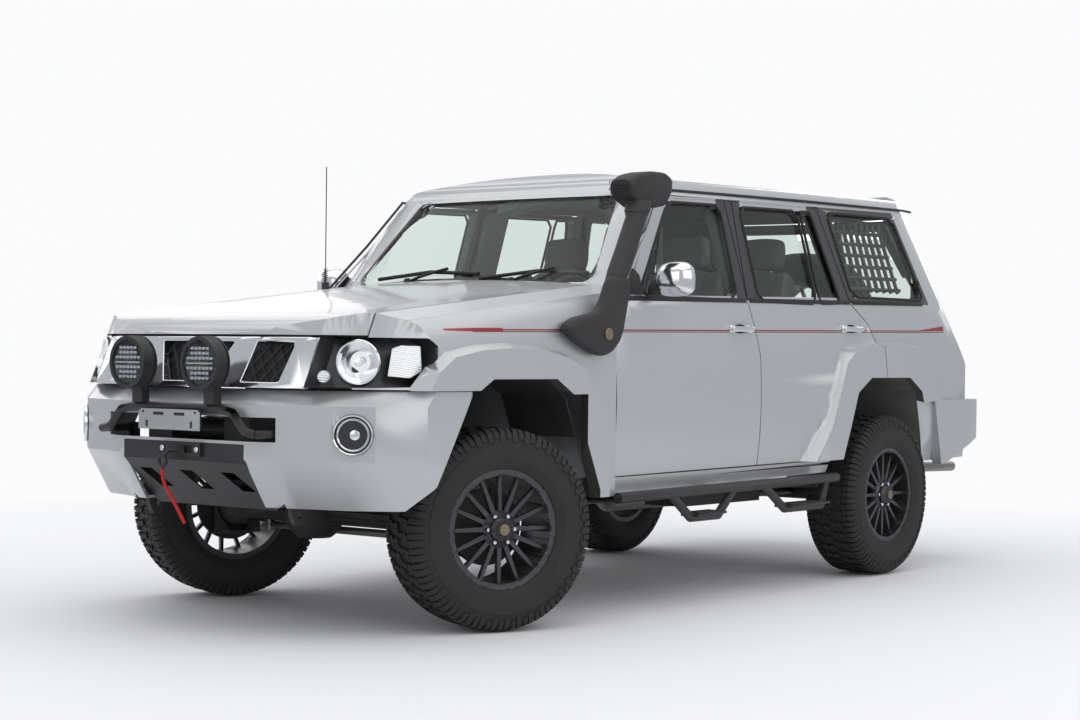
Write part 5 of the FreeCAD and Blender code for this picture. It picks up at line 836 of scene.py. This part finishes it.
for label, x, deck, places in (
        ("driver", 1300, 653, [-370]), ("passenger", 1300, 653, [370]),
        ("bench", 1930, 666, [-410, 0, 410])):
    wide = 520 if len(places) == 1 else 410
    for index, y in enumerate(places):
        name = f"{label}_{index}"
        seat_pad(f"{name}_cushion", x + 240, y, deck + 256, 478, wide - 130, 148)
        seat_pad(f"{name}_back", x + 566, y, deck + 606, 120, wide - 130, 560, 15)
        seat_pad(f"{name}_head", x + 664, y, deck + 955, 90, 250, 168, 4)
        for side in (-1, 1):
            edge = y + side * (wide / 2 - 42)
            seat_pad(f"{name}_bolster_{side}", x + 244, edge, deck + 258, 470, 84, 142)
            seat_pad(f"{name}_wing_{side}", x + 556, edge, deck + 600, 132, 84, 540, 15)
            post = bar(f"{name}_post_{side}", [
                at(x + 648, y + side * 55, deck + 850), at(x + 660, y + side * 55, deck + 900)], 0.006)
            settle(post, chrome, slot="steel")
    middle = (places[0] + places[-1]) / 2
    half = (places[-1] - places[0]) / 2 + wide / 2
    plinth = block(f"{label}_plinth", at(x + 42, middle - half + 64, deck + 1),
                   at(x + 438, middle + half - 64, deck + 186), 0.006, 2)
    settle(plinth, black_polymer)
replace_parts(bpy.data.objects["driver_plinth"], "front_seats")
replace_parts(bpy.data.objects["bench_plinth"], "bench_seat")
bpy.data.objects.remove(pillow)
wheel_axis = Vector((0.82, 0, 0.57)).normalized()
wheel_spot = at(1130, -370, 1325)
steering = turned("steering_rim", wheel_spot, wheel_axis, [
    (0.172, 0), (0.178, 0.012), (0.190, 0.016), (0.200, 0.010), (0.203, -0.002), (0.196, -0.014),
    (0.184, -0.016), (0.174, -0.010), (0.172, 0)], 48, ring=True)
hub = turned("steering_hub", wheel_spot, wheel_axis, [
    (0.03, -0.06), (0.05, -0.03), (0.066, 0.0), (0.06, 0.012), (0.02, 0.018)], 32)
spokes = [bar(f"steering_spoke_{i}", [
    wheel_spot + wheel_axis * -0.005, wheel_spot + Vector((-0.57 * up, out, 0.82 * up)) * 0.186], 0.013)
    for i, (out, up) in enumerate(((1, 0.05), (-1, 0.05), (0, -1)))]
settle(joined("steering_wheel", [steering, hub, *spokes]), black_polymer)
grid = [bar(f"panel_row_{row}", [
    skin(2760 - row * 6, 1800 - row * 58, -70), skin(3240 + row * 14, 1806 - row * 58, -70)],
    0.011, sides=1) for row in range(7)]
grid += [bar(f"panel_column_{column}", [
    skin(2765 + column * 60, 1800, -70), skin(2740 + column * 70, 1440, -70)],
    0.011, sides=1) for column in range(9)]
both(joined("cargo_panel", grid), "cargo_panel", black_coat, slot="black_paint")

# Wheels: cast rims in dark anthracite with a black locking hub and chrome nuts, and all-terrain
# tyres whose tread blocks lock together across the crown and step down over the shoulder.
rim_coat = worn("rim_coat", (0.060, 0.062, 0.066), (0.10, 0.10, 0.10), 0.34, 0.5, 500.0)
rubber = worn("tyre_rubber", (0.016, 0.016, 0.016), (0.045, 0.043, 0.040), 0.74, 0.0, 220.0)
wall = [
    (232, 104), (238, 118), (243, 126), (252, 130), (262, 136), (270, 137), (273, 140), (300, 142.5),
    (318, 142.5), (336, 141), (339, 138), (362, 136), (376, 131), (388, 118), (393, 90), (393.5, 2)]
section = [(r, -y) for r, y in wall] + wall[::-1] + [(232, -104)]
carcass = turned(
    "carcass", (0, 0, 0), (0, -1, 0), [(r / 1000, y / 1000) for r, y in section], 72, ring=True)
pitch = []
half_pitch = 0.0145
for side in (-1, 1):
    for shift, outline in (
            (0, [(-15, 3), (8, 5), (17, 22), (6, 40), (-12, 36), (-4, 22)]),
            (6, [(-14, 46), (4, 44), (12, 58), (16, 76), (-4, 80), (-12, 64)])):
        lift = 0.3904 if shift == 0 else 0.3898
        pitch.append(drawn(f"tread_block_{side}_{shift}", [
            Vector((side * ((x + shift) / 1000 - half_pitch), side * y / 1000, lift)) for x, y in outline],
            Vector((0, 0, 0.0146))))
    for start_x, wide, foot in ((-26, 23, 350), (3, 20, 362)):
        pitch.append(drawn(f"shoulder_lug_{side}_{start_x}", [
            Vector((start_x / 1000, side * y / 1000, z / 1000)) for y, z in (
                (86, 388), (85, 403.6), (114, 401), (131, 388), (139, 366), (141.6, foot), (137, foot),
                (132, 370), (122, 386))],
            Vector((wide / 1000, 0, 0))))
block_set = joined("tread_pitch", pitch)
pitches = 42
rows = [again(block_set, f"tread_{k}", Matrix.Rotation(math.tau * k / pitches, 4, "Y"))
        for k in range(1, pitches)]
tread = joined("tread", [block_set, *rows])
tyre = joined("tyre", [carcass, tread])
nuts = []
for k in range(6):
    turn = math.tau * k / 6
    spot = Vector((0.0585 * math.cos(turn), -0.090, 0.0585 * math.sin(turn)))
    nuts.append(turned(f"wheel_nut_{k}", spot, (0, -1, 0), [
        (0.0105, 0), (0.0105, 0.014), (0.008, 0.018), (0.003, 0.019)], 6))
nuts = joined("wheel_nuts", nuts)
hub_cap = turned("hub_cap", (0, 0, 0), (0, -1, 0), [
    (0.047, 0.088), (0.047, 0.104), (0.040, 0.108), (0.040, 0.1285), (0.036, 0.132), (0.030, 0.131),
    (0.028, 0.133), (0.004, 0.1335)], 40)
hub_mark = turned("hub_mark", (0, 0, 0), (0, -1, 0), [
    (0.022, 0.130), (0.022, 0.1345), (0.019, 0.1355), (0.003, 0.1355)], 32)
for corner, body in (
        ("front_left", "front_left_wheel"), ("front_right", "front_right_wheel"),
        ("rear_left", "rear_left_wheel"), ("rear_right", "rear_right_wheel"), ("spare", "right_tail_door")):
    low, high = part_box("tyre_" + corner)
    middle = (Vector(low) + Vector(high)) / 2
    turn = math.radians(-22 if corner.startswith("front") else 90 if corner == "spare" else 0)
    side = across_middle if corner.endswith("right") else Matrix.Identity(4)
    spot = Matrix.Translation(middle) @ Matrix.Rotation(turn, 4, "Z") @ side
    dress("rim_" + corner, rim_coat)
    treaded = settle(again(tyre, f"tyre_{corner}_tread", spot), rubber, body=body, slot="tyre", angle=28)
    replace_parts(treaded, "tyre_" + corner)
    settle(again(nuts, "nuts_" + corner, spot), chrome, body=body, slot="chrome")
    settle(again(hub_cap, "hub_" + corner, spot), matt_black, body=body, slot="black_plastic")
    settle(again(hub_mark, "hub_mark_" + corner, spot), bronze, body=body, slot="steel")
for spent in (tyre, nuts, hub_cap, hub_mark):
    bpy.data.objects.remove(spent)

# Floor of the studio: pale and matt, and clear towards its edge, so that the vehicle's soft shadow
# is all that shows on it.
pale = Finish("studio_floor", (0.90, 0.905, 0.92), 0.75)
x, y, z = pale.place()
pale.set("Alpha", (2.1 - (x * x + y * y) ** 0.5 * 0.33).clear())
pale.set("Roughness", pale.grain(40.0) * 0.1 + 0.7)
floor.data.materials.append(pale.material)
